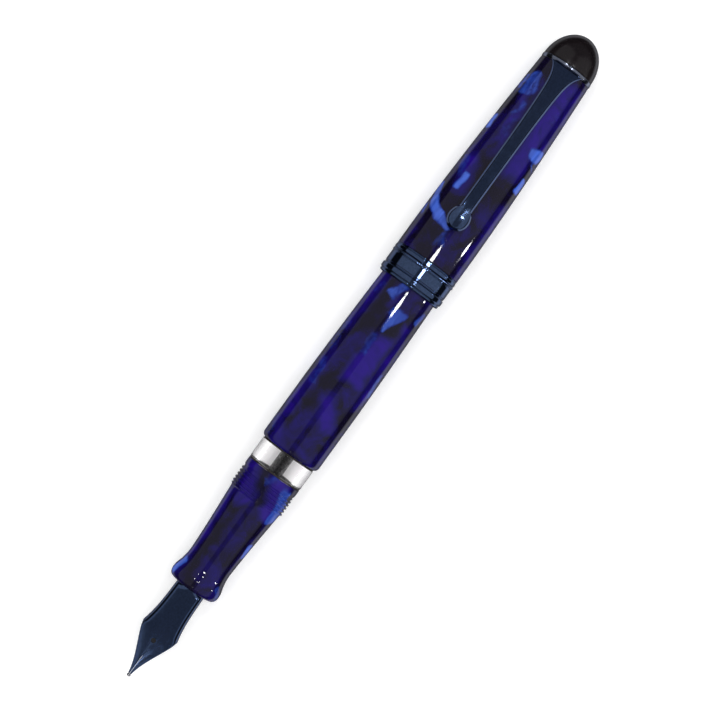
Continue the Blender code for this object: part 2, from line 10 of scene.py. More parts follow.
import bpy
import numpy as np
from bpy.props import FloatProperty, FloatVectorProperty, IntProperty, PointerProperty
from bpy.types import Operator, Panel, PropertyGroup
from mathutils import Matrix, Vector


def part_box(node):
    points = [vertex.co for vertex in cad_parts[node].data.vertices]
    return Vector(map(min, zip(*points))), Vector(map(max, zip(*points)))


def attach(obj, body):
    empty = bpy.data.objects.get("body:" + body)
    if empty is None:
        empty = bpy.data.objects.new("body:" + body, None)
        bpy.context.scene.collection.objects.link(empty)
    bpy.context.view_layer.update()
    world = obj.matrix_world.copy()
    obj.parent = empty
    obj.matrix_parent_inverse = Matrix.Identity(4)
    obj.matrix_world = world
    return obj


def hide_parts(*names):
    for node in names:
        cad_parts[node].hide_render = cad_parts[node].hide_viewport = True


bl_info = {
    "name": "Posted fountain pen",
    "version": (1, 0, 0),
    "blender": (4, 5, 0),
    "location": "View3D > Sidebar > Pen",
    "description": "Builds the finished surfaces of a posted piston-filler fountain pen",
    "category": "Add Mesh",
}

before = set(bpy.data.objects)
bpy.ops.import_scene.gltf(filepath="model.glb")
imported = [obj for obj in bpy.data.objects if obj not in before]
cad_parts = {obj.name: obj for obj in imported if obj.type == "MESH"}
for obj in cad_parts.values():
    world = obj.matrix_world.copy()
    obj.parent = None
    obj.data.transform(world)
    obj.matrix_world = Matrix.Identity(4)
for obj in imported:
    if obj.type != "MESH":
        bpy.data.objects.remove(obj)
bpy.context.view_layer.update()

MM = 0.001
TIP_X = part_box("nib_tipping_left")[0].x
AXIS_Z = sum(corner.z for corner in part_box("barrel")) / 2


def span(node):
    """The stations where a CAD node starts and ends."""
    low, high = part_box(node)
    return (low.x - TIP_X) / MM, (high.x - TIP_X) / MM


def start_of(node):
    """The station where a CAD node starts."""
    return span(node)[0]


def end_of(node):
    """The station where a CAD node ends."""
    return span(node)[1]


# Stations and radii that several pieces share
BEAD_R = AXIS_Z / MM
SECTION_START, SECTION_END = span("section")
BARREL_START, BARREL_END = span("barrel")
BARREL_R, BARREL_TAPER_START = 6.75, 68.0
CAP_START, CAP_END = span("cap_body")
CAP_R, CAP_TAPER_START = 7.225, 107.0
BAND_START, BAND_END = start_of("cap_lip_ring"), end_of("cap_upper_ring")
LENGTH = end_of("finial")
HOUSING_R = 4.0
NIB_START, NIB_END = span("nib")
SHANK_R = 3.23
SHOULDER_AT, SHOULDER_HALF_WIDTH = 11.2, 4.18
TIP_HEIGHT, TIP_HALF_WIDTH = 0.5, 0.3
BREATHER_AT = 9.05
CLIP_ROOT = end_of("clip_arm")
BALL_AT, BALL_HALF_LENGTH, BALL_HALF_WIDTH = 112.75, 2.6, 2.325


def length(name, description, value, low, high):
    """A length that a user may change, given here in millimetres."""
    return FloatProperty(name=name, description=description, default=value * MM, min=low * MM,
                         max=high * MM, unit="LENGTH", precision=5)


def colour(name, description, value):
    """A colour that a user may change."""
    return FloatVectorProperty(name=name, description=description, default=value, size=3,
                               min=0.0, max=1.0, subtype="COLOR")


class PenSizes(PropertyGroup):
    """Sizes of the pen's fine detail"""
    edge_round: length("Edge round", "Radius of the small rounds on turned edges", 0.12, 0.02, 0.3)
    thread_pitch: length("Thread pitch", "Distance between turns of the cap thread", 0.76, 0.4, 1.2)
    slit_width: length("Slit width", "Width of the slit between the nib's tines", 0.04, 0.02, 0.2)
    breather_radius: length("Breather radius", "Radius of the slit's end hole", 0.52, 0.2, 0.8)
    nib_thickness: length("Nib thickness", "Thickness of the nib's sheet", 0.35, 0.2, 0.5)
    fin_pitch: length("Fin pitch", "Distance between two fins of the feed", 0.55, 0.3, 1.0)
    clip_bevel: length("Clip bevel", "Width of the bevel along the clip's edges", 0.5, 0.1, 0.8)
    around: IntProperty(name="Steps round", default=192, min=48, max=256,
                        description="How many steps a turned surface takes round the axis")


class PenColours(PropertyGroup):
    """Colours of the pen's finishes and of the floor"""
    night: colour("Night", "Darkest resin, between the chips", (0.0036, 0.0022, 0.0125))
    indigo: colour("Indigo", "Deep clouds in the resin", (0.0080, 0.0036, 0.108))
    violet: colour("Violet", "Heart of the clouds", (0.016, 0.0030, 0.18))
    royal: colour("Royal", "Body of the chips", (0.011, 0.029, 0.23))
    bright: colour("Bright", "Lightest part of the chips", (0.062, 0.140, 0.62))
    plating: colour("Plating", "Blued plating on nib, clip and band", (0.098, 0.150, 0.290))
    dome: colour("Dome", "Black resin of the dome", (0.0065, 0.0045, 0.0055))
    brass: colour("Brass", "Piston rod and spindle", (0.72, 0.50, 0.20))
    steel: colour("Steel", "Tipping, washer and snap ring", (0.62, 0.62, 0.64))
    plastic: colour("Plastic", "Feed, housing and guide", (0.014, 0.013, 0.014))
    rubber: colour("Rubber", "Seals", (0.022, 0.018, 0.014))
    floor: colour("Floor", "The pale table top", (0.90, 0.90, 0.90))


def millimetres(*names):
    """The named sizes in millimetres."""
    return [getattr(bpy.context.scene.pen_sizes, name) / MM for name in names]


# Outlines: arrays of (station, radius) points


def smooth(value):
    """0 below 0, 1 above 1 and the S curve 3v^2 - 2v^3 between."""
    value = np.clip(value, 0.0, 1.0)
    return value * value * (3 - 2 * value)


def flowing(points, step=0.4):
    """A smooth outline through points.

    It is made of cubic pieces whose slope at each point is that of the line through its neighbours.
    """
    station, radius = np.asarray(points, float).T
    slope = np.gradient(radius, station)
    found = np.linspace(station[0], station[-1], int((station[-1] - station[0]) / step) + 2)
    piece = np.clip(np.searchsorted(station, found, "right") - 1, 0, len(station) - 2)
    width = station[piece + 1] - station[piece]
    t = (found - station[piece]) / width
    past = piece + 1
    level = (2 * t**3 - 3 * t**2 + 1) * radius[piece] + (3 * t**2 - 2 * t**3) * radius[past]
    rise = (t**3 - 2 * t**2 + t) * width * slope[piece] + (t**3 - t**2) * width * slope[past]
    return np.column_stack([found, level + rise])


def quarter(station, radius, along, across, steps=10):
    """A quarter of an ellipse: it leaves a face at its inner radius and ends level.

    The station is start + along (1 - cos angle) and the radius is inner + across sin angle.
    """
    angle = np.linspace(0, np.pi / 2, steps)
    return np.column_stack([station + along * (1 - np.cos(angle)), radius + across * np.sin(angle)])


def rounded(outline, size, closed=True, steps=5):
    """Outlines (..., corners, 2) with each corner made an arc that touches both of its sides.

    The arc's points are its two end radii blended by sines of the share of its sweep. A point is
    added a little before and after it, so that shading stays even on the flats. size is one radius
    or one a corner, and a corner of size 0 stays as it is.
    """
    corner = np.asarray(outline, float)
    size = np.broadcast_to(np.asarray(size, float), corner.shape[-2])
    kept = size > 0
    if not closed:
        kept[[0, -1]] = False
    before = np.roll(corner, 1, -2) - corner
    after = np.roll(corner, -1, -2) - corner
    before_length = np.linalg.norm(before, axis=-1, keepdims=True) + 1e-9
    after_length = np.linalg.norm(after, axis=-1, keepdims=True) + 1e-9
    shortest = np.minimum(before_length, after_length)[..., 0]
    before, after = before / before_length, after / after_length
    half = np.arccos(np.clip((before * after).sum(-1), -1, 1)) / 2
    half = np.clip(half, 0.02, np.pi / 2 - 1e-3)
    reach = np.minimum(size / np.tan(half), 0.42 * shortest)
    inward = before + after
    inward = inward / (np.linalg.norm(inward, axis=-1, keepdims=True) + 1e-12)
    centre = corner + inward * (reach / np.cos(half))[..., None]
    start = corner + before * reach[..., None] - centre
    end = corner + after * reach[..., None] - centre
    sweep = (np.pi - 2 * half)[..., None, None]
    share = np.linspace(0, 1, steps)[:, None]
    from_start = np.sin((1 - share) * sweep) * start[..., None, :]
    to_end = np.sin(share * sweep) * end[..., None, :]
    arc = (from_start + to_end) / np.sin(sweep) + centre[..., None, :]
    guard = np.minimum(0.3 * reach, 0.05 * shortest)[..., None]
    ahead = arc[..., :1, :] + (before * guard)[..., None, :]
    behind = arc[..., -1:, :] + (after * guard)[..., None, :]
    arc = np.concatenate([ahead, arc, behind], axis=-2)
    arc = np.where(kept[:, None, None], arc, corner[..., None, :])
    use = np.ones((len(size), steps + 2), bool)
    use[~kept, 1:] = False
    return arc.reshape(*corner.shape[:-2], -1, 2)[..., use.ravel(), :]


def ring_outline(node, outer, inner, size):
    """The rounded outline of a plain ring as long as its CAD node, its outer side first."""
    start, end = span(node)
    return rounded([(start, outer), (end, outer), (end, inner), (start, inner)], size)


def cap_radius(station):
    """The cap's outer radius: straight at the mouth, then curving in towards the dome."""
    return CAP_R - 0.00294 * np.maximum(0.0, station - CAP_TAPER_START) ** 1.65


def barrel_radius(station):
    """The barrel's outer radius over the stretch that shows."""
    return BARREL_R - 0.00222 * np.maximum(0.0, station - BARREL_TAPER_START) ** 1.6


# Meshes from grids


def grid_object(name, points, caps=False):
    """A closed solid from a grid (rows, columns, 3) in millimetres whose rows are closed loops.

    Neighbouring points make a face. A row whose points all meet is one point, and its faces are
    triangles. With caps, each end row is filled by one face. With neither, the last row joins the
    first.
    """
    rows, columns = points.shape[:2]
    spread = np.ptp(points, axis=1).max(axis=1)
    poles = spread < 1e-7
    index = np.arange(rows * columns).reshape(rows, columns)
    index[poles] = index[poles][:, :1]
    used, index = np.unique(index, return_inverse=True)
    index = index.reshape(rows, columns)
    ring = index if caps or poles.any() else np.concatenate([index, index[:1]])
    beside = np.roll(ring, -1, 1)
    quads = np.stack([ring[:-1], beside[:-1], beside[1:], ring[1:]], -1).reshape(-1, 4)
    front = quads[:, 0] == quads[:, 1]
    back = quads[:, 2] == quads[:, 3]
    faces = [quads[~front & ~back], quads[front & ~back][:, [0, 2, 3]],
             quads[back & ~front][:, [0, 1, 2]]]
    if caps:
        faces += [index[:1, ::-1][~poles[:1]], index[-1:][~poles[-1:]]]
    return mesh_object(name, points.reshape(-1, 3)[used], faces)


def mesh_object(name, points, faces):
    """A mesh object from points in millimetres and a list of face arrays, each (count, sides)."""
    faces = [part for part in faces if len(part)]
    corners = np.concatenate([part.ravel() for part in faces]).astype(np.int32)
    sides = np.concatenate([np.full(len(part), part.shape[1]) for part in faces])
    starts = np.concatenate([[0], np.cumsum(sides)[:-1]]).astype(np.int32)
    placed = points.reshape(-1, 3) * MM + np.array([TIP_X, 0.0, AXIS_Z])
    mesh = bpy.data.meshes.new(name)
    mesh.vertices.add(len(placed))
    mesh.vertices.foreach_set("co", placed.astype(np.float32).ravel())
    mesh.loops.add(len(corners))
    mesh.loops.foreach_set("vertex_index", corners)
    mesh.polygons.add(len(sides))
    mesh.polygons.foreach_set("loop_start", starts)
    mesh.update(calc_edges=True)
    mesh.validate()
    mesh.shade_smooth()
    obj = bpy.data.objects.new(name, mesh)
    bpy.context.scene.collection.objects.link(obj)
    return obj


def turned(name, outline, relief=None, around=None):
    """The outline carried round the axis: across = -radius sin(turn), height = radius cos(turn).

    relief(station, radius, turn) is added to the radius. An outline that starts and ends on the
    axis is a solid, and any other closes on itself and is a ring.
    """
    outline = np.asarray(outline, float)
    around = around or bpy.context.scene.pen_sizes.around
    turn = np.linspace(0, 2 * np.pi, around, endpoint=False)
    station, turn = np.meshgrid(outline[:, 0], turn, indexing="ij")
    radius = np.repeat(outline[:, 1:], around, 1)
    if relief:
        radius = radius + relief(station, radius, turn)
    points = np.stack([station, -radius * np.sin(turn), radius * np.cos(turn)], -1)
    return grid_object(name, points)


def dress(obj, body, slot, material, *nodes):
    """Gives a piece its material and body, and lets it stand for its CAD nodes. The slot is not
    used.
    """
    obj.data.materials.append(material)
    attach(obj, body)
    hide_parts(*nodes)
    return obj


# Materials


def fill(tree, node, inputs):
    """Sets each input to a value, or joins it to a socket."""
    for key, value in inputs.items():
        if isinstance(value, bpy.types.NodeSocket):
            tree.links.new(value, node.inputs[key])
        else:
            node.inputs[key].default_value = value


def add_node(tree, kind, inputs=None, **settings):
    """A shader node with its settings made and each input set to a value or joined to a socket."""
    node = tree.nodes.new(kind)
    for key, value in settings.items():
        setattr(node, key, value)
    fill(tree, node, inputs or {})
    return node


def new_material(name):
    """A material, its node tree and its shader."""
    material = bpy.data.materials.new(name)
    material.use_nodes = True
    tree = material.node_tree
    return material, tree, tree.nodes["Principled BSDF"]


def noise(tree, scale, detail=4.0, stretch=(1.0, 1.0, 1.0), distortion=0.0):
    """Cloudy noise in Object coordinates, scale repeats to the metre."""
    place = add_node(tree, "ShaderNodeTexCoord").outputs["Object"]
    mapping = add_node(tree, "ShaderNodeMapping", {"Vector": place, "Scale": stretch})
    inputs = {"Vector": mapping.outputs[0], "Scale": scale, "Detail": detail,
              "Distortion": distortion}
    return add_node(tree, "ShaderNodeTexNoise", inputs).outputs["Fac"]


def ranged(tree, value, low, high, to_low=0.0, to_high=1.0, ease="SMOOTHSTEP"):
    """value moved from low..high to to_low..to_high and held there."""
    inputs = {"Value": value, "From Min": low, "From Max": high, "To Min": to_low,
              "To Max": to_high}
    node = add_node(tree, "ShaderNodeMapRange", inputs, interpolation_type=ease)
    return node.outputs["Result"]


def mixed(tree, share, first, second):
    """A colour between first and second, each an (r, g, b) tuple or a socket."""
    first, second = (
        (*value, 1.0) if isinstance(value, tuple) else value for value in (first, second))
    inputs = {0: share, 6: first, 7: second}
    return add_node(tree, "ShaderNodeMix", inputs, data_type="RGBA").outputs[2]


def summed(tree, first, second, times):
    """first + second x times."""
    inputs = {0: second, 1: times, 2: first}
    return add_node(tree, "ShaderNodeMath", inputs, operation="MULTIPLY_ADD").outputs[0]


def roughened(tree, value, grain, times):
    """value + (grain - 0.5) x times."""
    centred = add_node(tree, "ShaderNodeMath", {0: grain, 1: 0.5}, operation="SUBTRACT").outputs[0]
    return summed(tree, value, centred, times)


def bumped(tree, height, depth):
    """The normal of a surface with a fine relief, its depth in metres."""
    inputs = {"Height": height, "Distance": depth, "Strength": 1.0}
    return add_node(tree, "ShaderNodeBump", inputs).outputs["Normal"]


def marbled_resin(name):
    """Polished resin: near-black with indigo clouds and pearl chips.

    The piece's own attributes say where chips and clouds lie. Noise breaks up their edges and
    streaks the inside of the chips.
    """
    colours = bpy.context.scene.pen_colours
    shades = ("night", "indigo", "violet", "royal", "bright")
    night, indigo, violet, royal, bright = (tuple(getattr(colours, shade)) for shade in shades)
    material, tree, shader = new_material(name)
    pearl = add_node(tree, "ShaderNodeAttribute", attribute_name="pearl").outputs["Fac"]
    glow = add_node(tree, "ShaderNodeAttribute", attribute_name="glow").outputs["Fac"]
    ragged = roughened(tree, pearl, noise(tree, 750, 5.0, distortion=0.8), 0.7)
    cloudy = roughened(tree, glow, noise(tree, 240, 5.0, distortion=1.4), 1.1)
    lightness = roughened(tree, pearl, noise(tree, 420, 5.0, (0.45, 1.0, 1.0), 1.2), 1.3)
    chip = mixed(tree, ranged(tree, lightness, 0.3, 1.3), royal, bright)
    cloud = mixed(tree, ranged(tree, cloudy, 0.75, 1.25), indigo, violet)
    base = mixed(tree, ranged(tree, cloudy, 0.15, 1.0), night, cloud)
    resin = mixed(tree, ranged(tree, ragged, 0.12, 0.68), base, chip)
    worn = noise(tree, 2600, 6.0, (0.2, 1.0, 1.0))
    fill(tree, shader, {
        "Base Color": resin, "Roughness": ranged(tree, worn, 0.3, 0.75, 0.015, 0.06), "IOR": 1.5,
        "Normal": bumped(tree, noise(tree, 400, 1.0), 0.0000012)})
    return material


def finish(name, tint, roughness, metallic=0.0, scale=1500.0, depth=0.000002, uneven=0.25,
           stretch=(1, 1, 1)):
    """A worked surface: its tint, roughness and a fine bump vary with noise of one scale."""
    material, tree, shader = new_material(name)
    grain = noise(tree, scale, 6.0, stretch)
    darker, lighter = (tuple(value * share for value in tint) for share in (1 - uneven, 1 + uneven))
    shade = mixed(tree, ranged(tree, grain, 0.3, 0.7), darker, lighter)
    worn = noise(tree, scale * 0.31, 4.0, stretch)
    fill(tree, shader, {
        "Base Color": shade, "Roughness": ranged(tree, worn, 0.3, 0.7, *roughness),
        "Metallic": metallic, "Normal": bumped(tree, grain, depth)})
    return material


def blued_plating(name, roughness=(0.04, 0.08), tint=None):
    """Polished blue plating with hardly any grain."""
    tint = tint or bpy.context.scene.pen_colours.plating
    return finish(name, tint, roughness, 1.0, 2400.0, 0.0000012, 0.12)


def turned_metal(name, tint, roughness=(0.16, 0.32)):
    """Metal with the fine rings that a lathe leaves: noise squeezed along the pen."""
    return finish(name, tint, roughness, 1.0, 900.0, 0.0000015, 0.12, (12.0, 0.6, 0.6))


def moulded_plastic(name, roughness=(0.32, 0.48)):
    """Satin plastic, as it comes from the mould."""
    tint = bpy.context.scene.pen_colours.plastic
    return finish(name, tint, roughness, 0.0, 3200.0, 0.000004, 0.2)


def soft_rubber(name):
    """Dull rubber with a fine grain."""
    tint = bpy.context.scene.pen_colours.rubber
    return finish(name, tint, (0.45, 0.62), 0.0, 4200.0, 0.000006, 0.3)


def clear_acrylic(name):
    """Clear polished acrylic with the faintest ripple."""
    material, tree, shader = new_material(name)
    ripple = ranged(tree, noise(tree, 900, 3.0), 0.35, 0.75, 0.0, 0.012)
    fill(tree, shader, {"Base Color": (0.985, 0.975, 0.98, 1.0), "Transmission Weight": 1.0,
                        "IOR": 1.49, "Roughness": ripple})
    return material


# Marbling: a chip is a stroke on the unrolled surface, from (station, turn, half width) to the same
# at its other end, with a tone that is its strength

UNROLL_R, SQUARENESS = 6.6, 3.5
CHIPS = (
    # cap, on the side that faces up
    (144.8, -44, 1.8, 142.8, -42, 2.2, 0.5),
    (144.6, -68, 1.0, 142.4, -70, 1.2, 0.5),
    (138.8, -26, 0.7, 136.0, -36, 0.6, 0.4),
    (133.8, -72, 1.1, 132.4, -68, 1.1, 0.95),
    (132.5, 62, 1.3, 132.2, 42, 1.25, 0.92),
    (130.6, 56, 0.3, 129.4, 69, 0.3, 0.75),
    (126.1, 66, 1.1, 124.9, 64, 1.2, 1.0),
    (120.5, -36, 0.8, 118.2, -36, 0.75, 1.0),
    (123.6, -56, 1.3, 120.6, -46, 1.2, 0.35),
    (116.6, -74, 0.95, 113.9, -61, 1.05, 0.85),
    (113.9, -61, 1.05, 111.6, -34, 1.2, 0.9),
    (111.6, -34, 1.2, 109.7, -9, 0.5, 0.8),
    (111.8, -72, 0.9, 110.2, -66, 0.8, 0.6),
    (108.6, -6, 0.4, 106.9, -1, 1.2, 0.4),
    (134.6, -24, 1.0, 131.0, -26, 0.9, 0.22),
    (141.4, 40, 1.0, 139.6, 34, 0.9, 0.2),
    # barrel
    (95.6, -6, 1.0, 93.4, -17, 1.2, 0.6),
    (90.6, 22, 1.0, 90.4, 3, 0.9, 0.62),
    (89.8, 13, 1.7, 86.2, 8, 0.35, 0.66),
    (93.8, -44, 1.0, 92.4, -48, 1.0, 0.25),
    (93.2, 62, 0.9, 91.4, 58, 1.0, 0.55),
    (84.6, -4, 0.7, 80.8, 0, 0.9, 0.36),
    (80.4, 2, 0.5, 79.8, 6, 0.35, 0.5),
    (78.4, 62, 0.8, 74.4, 66, 1.0, 0.5),
    (74.6, -52, 1.3, 70.4, -44, 1.2, 0.3),
    (84.0, -64, 1.2, 78.0, -60, 1.2, 0.3),
    (59.4, -66, 1.3, 57.0, -62, 1.2, 0.3),
    # threads and section
    (47.8, 46, 1.6, 43.2, 62, 1.9, 0.66),
    (49.8, 14, 1.2, 48.6, 2, 0.9, 0.42),
    (35.1, 66, 1.2, 33.6, 70, 1.0, 0.85),
    (25.6, -58, 1.1, 23.4, -66, 1.4, 0.8),
    (24.4, 58, 1.0, 22.8, 74, 1.1, 0.46),
)
CLOUDS = (
    # broad indigo patches, given in the same way
    (146.0, 26, 2.6, 128.0, 30, 3.0, 0.95),
    (147.0, 62, 1.6, 134.0, 58, 2.0, 0.9),
    (141.0, -34, 1.8, 131.0, -22, 2.0, 0.85),
    (130.5, -60, 1.4, 126.0, -66, 1.6, 0.8),
    (123.8, -46, 2.4, 118.4, -30, 2.0, 0.95),
    (119.0, 64, 2.0, 108.0, 60, 1.8, 0.95),
    (112.0, 14, 1.8, 104.5, 12, 1.6, 0.6),
    (104.5, 66, 2.0, 97.0, 60, 2.2, 0.9),
    (108.0, -60, 1.4, 103.0, -56, 1.4, 0.6),
    (95.0, -62, 2.6, 84.0, -58, 2.4, 0.9),
    (83.0, 18, 2.6, 76.0, 14, 2.9, 1.1),
    (74.0, -50, 2.4, 60.0, -56, 2.4, 0.9),
    (68.6, 2, 1.8, 64.6, 22, 2.4, 1.1),
    (61.5, -58, 1.8, 56.4, -30, 2.2, 0.9),
    (88.5, 50, 1.8, 72.0, 58, 2.0, 0.9),
    (57.4, 4, 0.9, 56.2, 50, 1.1, 0.9),
    (49.8, -46, 2.8, 44.0, -24, 2.8, 0.95),
    (49.8, 24, 2.8, 44.0, 40, 2.8, 1.1),
    (42.0, -60, 1.8, 23.2, -60, 2.2, 0.9),
    (40.0, 6, 3.4, 27.0, 6, 3.4, 0.5),
    (40.0, 62, 1.0, 29.0, 60, 1.0, 0.7),
    (26.0, 34, 1.2, 22.5, 56, 2.0, 0.8),
)
BACK_CHIPS, BACK_CLOUDS, MARBLE_SEED = 62, 60, 11
# How far along the pen the knob takes its marbling from, beyond its own place
KNOB_SHIFT = 7.3


def back_strokes(count, widths, tones, seed):
    """Random strokes for the half of the pen that faces down, in the same form as CHIPS."""
    random = np.random.default_rng(seed)
    station = random.uniform(SECTION_START, CAP_END, count)
    turn = random.uniform(88, 272, count)
    width = random.uniform(*widths, count)
    along = random.uniform(0.6, 4.0, count)
    swing = random.uniform(-22, 22, count)
    tone = random.uniform(*tones, count)
    return np.column_stack([station + along, turn + swing, width, station, turn, width * 0.8, tone])


def stroked(station, turn, strokes, softness):
    """The strongest of the strokes at each point.

    A stroke is a line on the unrolled surface with a width that changes evenly along it. Its tone
    holds within that width and fades over the softness. The distance is the root of the summed
    powers of the steps beside and past the line, so that the ends are squarish, and it wraps round
    the pen.
    """
    found = np.zeros_like(station)
    for start, start_turn, start_width, end, end_turn, end_width, tone in strokes:
        line = np.array([end - start, math.radians(end_turn - start_turn) * UNROLL_R])
        away = (turn - math.radians(start_turn) + np.pi) % (2 * np.pi) - np.pi
        offset = np.stack([station - start, away * UNROLL_R])
        long = math.sqrt(line @ line)
        along = (offset * line[:, None]).sum(0) / long
        past = along - np.clip(along, 0, long)
        beside = (offset[0] * line[1] - offset[1] * line[0]) / long
        gap = (np.abs(past) ** SQUARENESS + np.abs(beside) ** SQUARENESS) ** (1 / SQUARENESS)
        width = start_width + (end_width - start_width) * np.clip(along / long, 0, 1)
        found = np.maximum(found, tone * smooth((width - gap) / softness + 0.5))
    return found


def wandering(station, turn, size, seed):
    """Smooth wandering values near -1..1.

    They are a sum of sines that run along the pen and a whole number of times round it.
    """
    random = np.random.default_rng(seed)
    terms = 14
    along = random.normal(0, 1 / size, terms)
    times = random.integers(-5, 6, terms)
    phase = random.uniform(0, 2 * np.pi, terms)
    waves = np.sin(station[:, None] * along + turn[:, None] * times + phase)
    return waves.sum(1) * math.sqrt(2 / terms) / 1.4


def marble(obj, shift=0.0):
    """Stores the chips (pearl) and clouds (glow) at each point of a resin piece.

    Wandering values move them a little, so that no edge is straight, and add faint clouds between.
    """
    count = len(obj.data.vertices)
    place = np.empty(count * 3)
    obj.data.vertices.foreach_get("co", place)
    x, y, z = place.reshape(-1, 3).T
    station = (x - TIP_X) / MM + shift
    turn = np.arctan2(-y, z - AXIS_Z)
    bent = station + 0.28 * wandering(station, turn, 0.9, MARBLE_SEED)
    twisted = turn + 0.045 * wandering(station, turn, 1.1, MARBLE_SEED + 1)
    chips = [*CHIPS, *back_strokes(BACK_CHIPS, (0.4, 1.7), (0.3, 0.9), MARBLE_SEED + 2)]
    clouds = [*CLOUDS, *back_strokes(BACK_CLOUDS, (1.2, 2.6), (0.5, 1.0), MARBLE_SEED + 3)]
    pearl = stroked(bent, twisted, chips, 1.0)
    glow = stroked(bent, twisted, clouds, 4.0)
    faint = wandering(station, turn, 2.5, MARBLE_SEED + 4)
    glow = np.maximum(glow, 0.17 + 0.4 * smooth(0.35 + 0.6 * faint))
    for name, value in (("pearl", pearl), ("glow", glow)):
        attribute = obj.data.attributes.new(name, "FLOAT", "POINT")
        attribute.data.foreach_set("value", value.astype(np.float32))
    return obj


# Nib and feed

FLANK_SHARE, FLANK_SLOPE = (0, 0.05, 0.3, 0.36, 0.62, 1.0), (5, 46, 57, 66, 76, 88)
FLANK_START, FLANK_END, ARCH_START, ARCH_LENGTH = 9.9, 11.8, 20.6, 3.0


def nib_half_width(station):
    """Tines that bow out to the shoulder, then a waist that falls off to the shank."""
    t = np.clip(station / SHOULDER_AT, 0, 1)
    bow = 0.2 * t + 1.7 * t**2 - 0.9 * t**3
    tines = TIP_HALF_WIDTH + (SHOULDER_HALF_WIDTH - TIP_HALF_WIDTH) * bow
    past = np.maximum(station - SHOULDER_AT, 0)
    waist = SHANK_R + (SHOULDER_HALF_WIDTH - SHANK_R) * np.exp(-((past / 3.5) ** 1.12))
    return np.where(station < SHOULDER_AT, tines, waist)


def nib_crown(station):
    """Height of the nib's middle line: level on the feed, then falling to the tip."""
    t = np.clip(station / SECTION_START, 0, 1)
    return TIP_HEIGHT + (SHANK_R - TIP_HEIGHT) * (1 - (1 - t) ** 1.5)


def nib_flank():
    """A flank's curve of unit width, from the face's edge outwards and down.

    It is a walk of even steps. Its slope turns quickly from nearly level to a steady bevel, then
    steepens until it drops straight down.
    """
    walked = np.linspace(0, 1, 90)
    slope = np.radians(np.interp(walked, FLANK_SHARE, FLANK_SLOPE))
    out, down = np.cumsum(np.cos(slope)), np.cumsum(np.sin(slope))
    take = np.unique(np.concatenate([np.arange(0, 30, 2), np.arange(30, 90, 5), [89]]))
    return out[take] / out[-1], down[take] / out[-1]


def nib_half(station, inner, depth=0.0):
    """Half of the nib's cross-sections, from the inner edge to the outer, one to a row.

    The face is nearly flat and each flank turns down. Inside the grip the section becomes a round
    arch about the axis. depth is how far inside the upper surface the curve lies.
    """
    half = nib_half_width(station)[:, None]
    flank = (0.06 + 0.84 * smooth((station - FLANK_START) / (FLANK_END - FLANK_START)))[:, None]
    edge = half - flank
    out, down = nib_flank()
    face = np.linspace(0, 1, 15)[:-1]
    on_face = inner[:, None] + (edge - inner[:, None]) * face
    across = np.concatenate([on_face, edge + flank * out], 1)
    crowned = -0.13 * (np.minimum(across, edge) / half) ** 2
    drop = np.concatenate([np.zeros_like(on_face), flank * down], 1)
    share = np.concatenate([face * 0.6, 0.6 + 0.4 * np.linspace(0, 1, len(out))])
    lean = np.radians(85) * share
    arch = smooth((station - ARCH_START) / ARCH_LENGTH)[:, None]
    across = across * (1 - arch) + SHANK_R * np.sin(lean) * arch
    drop = (crowned - drop) * (1 - arch) + SHANK_R * (np.cos(lean) - 1) * arch
    height = nib_crown(station)[:, None] + drop
    squeeze = 1 - depth / half
    return inner[:, None] + (across - inner[:, None]) * squeeze, height - depth


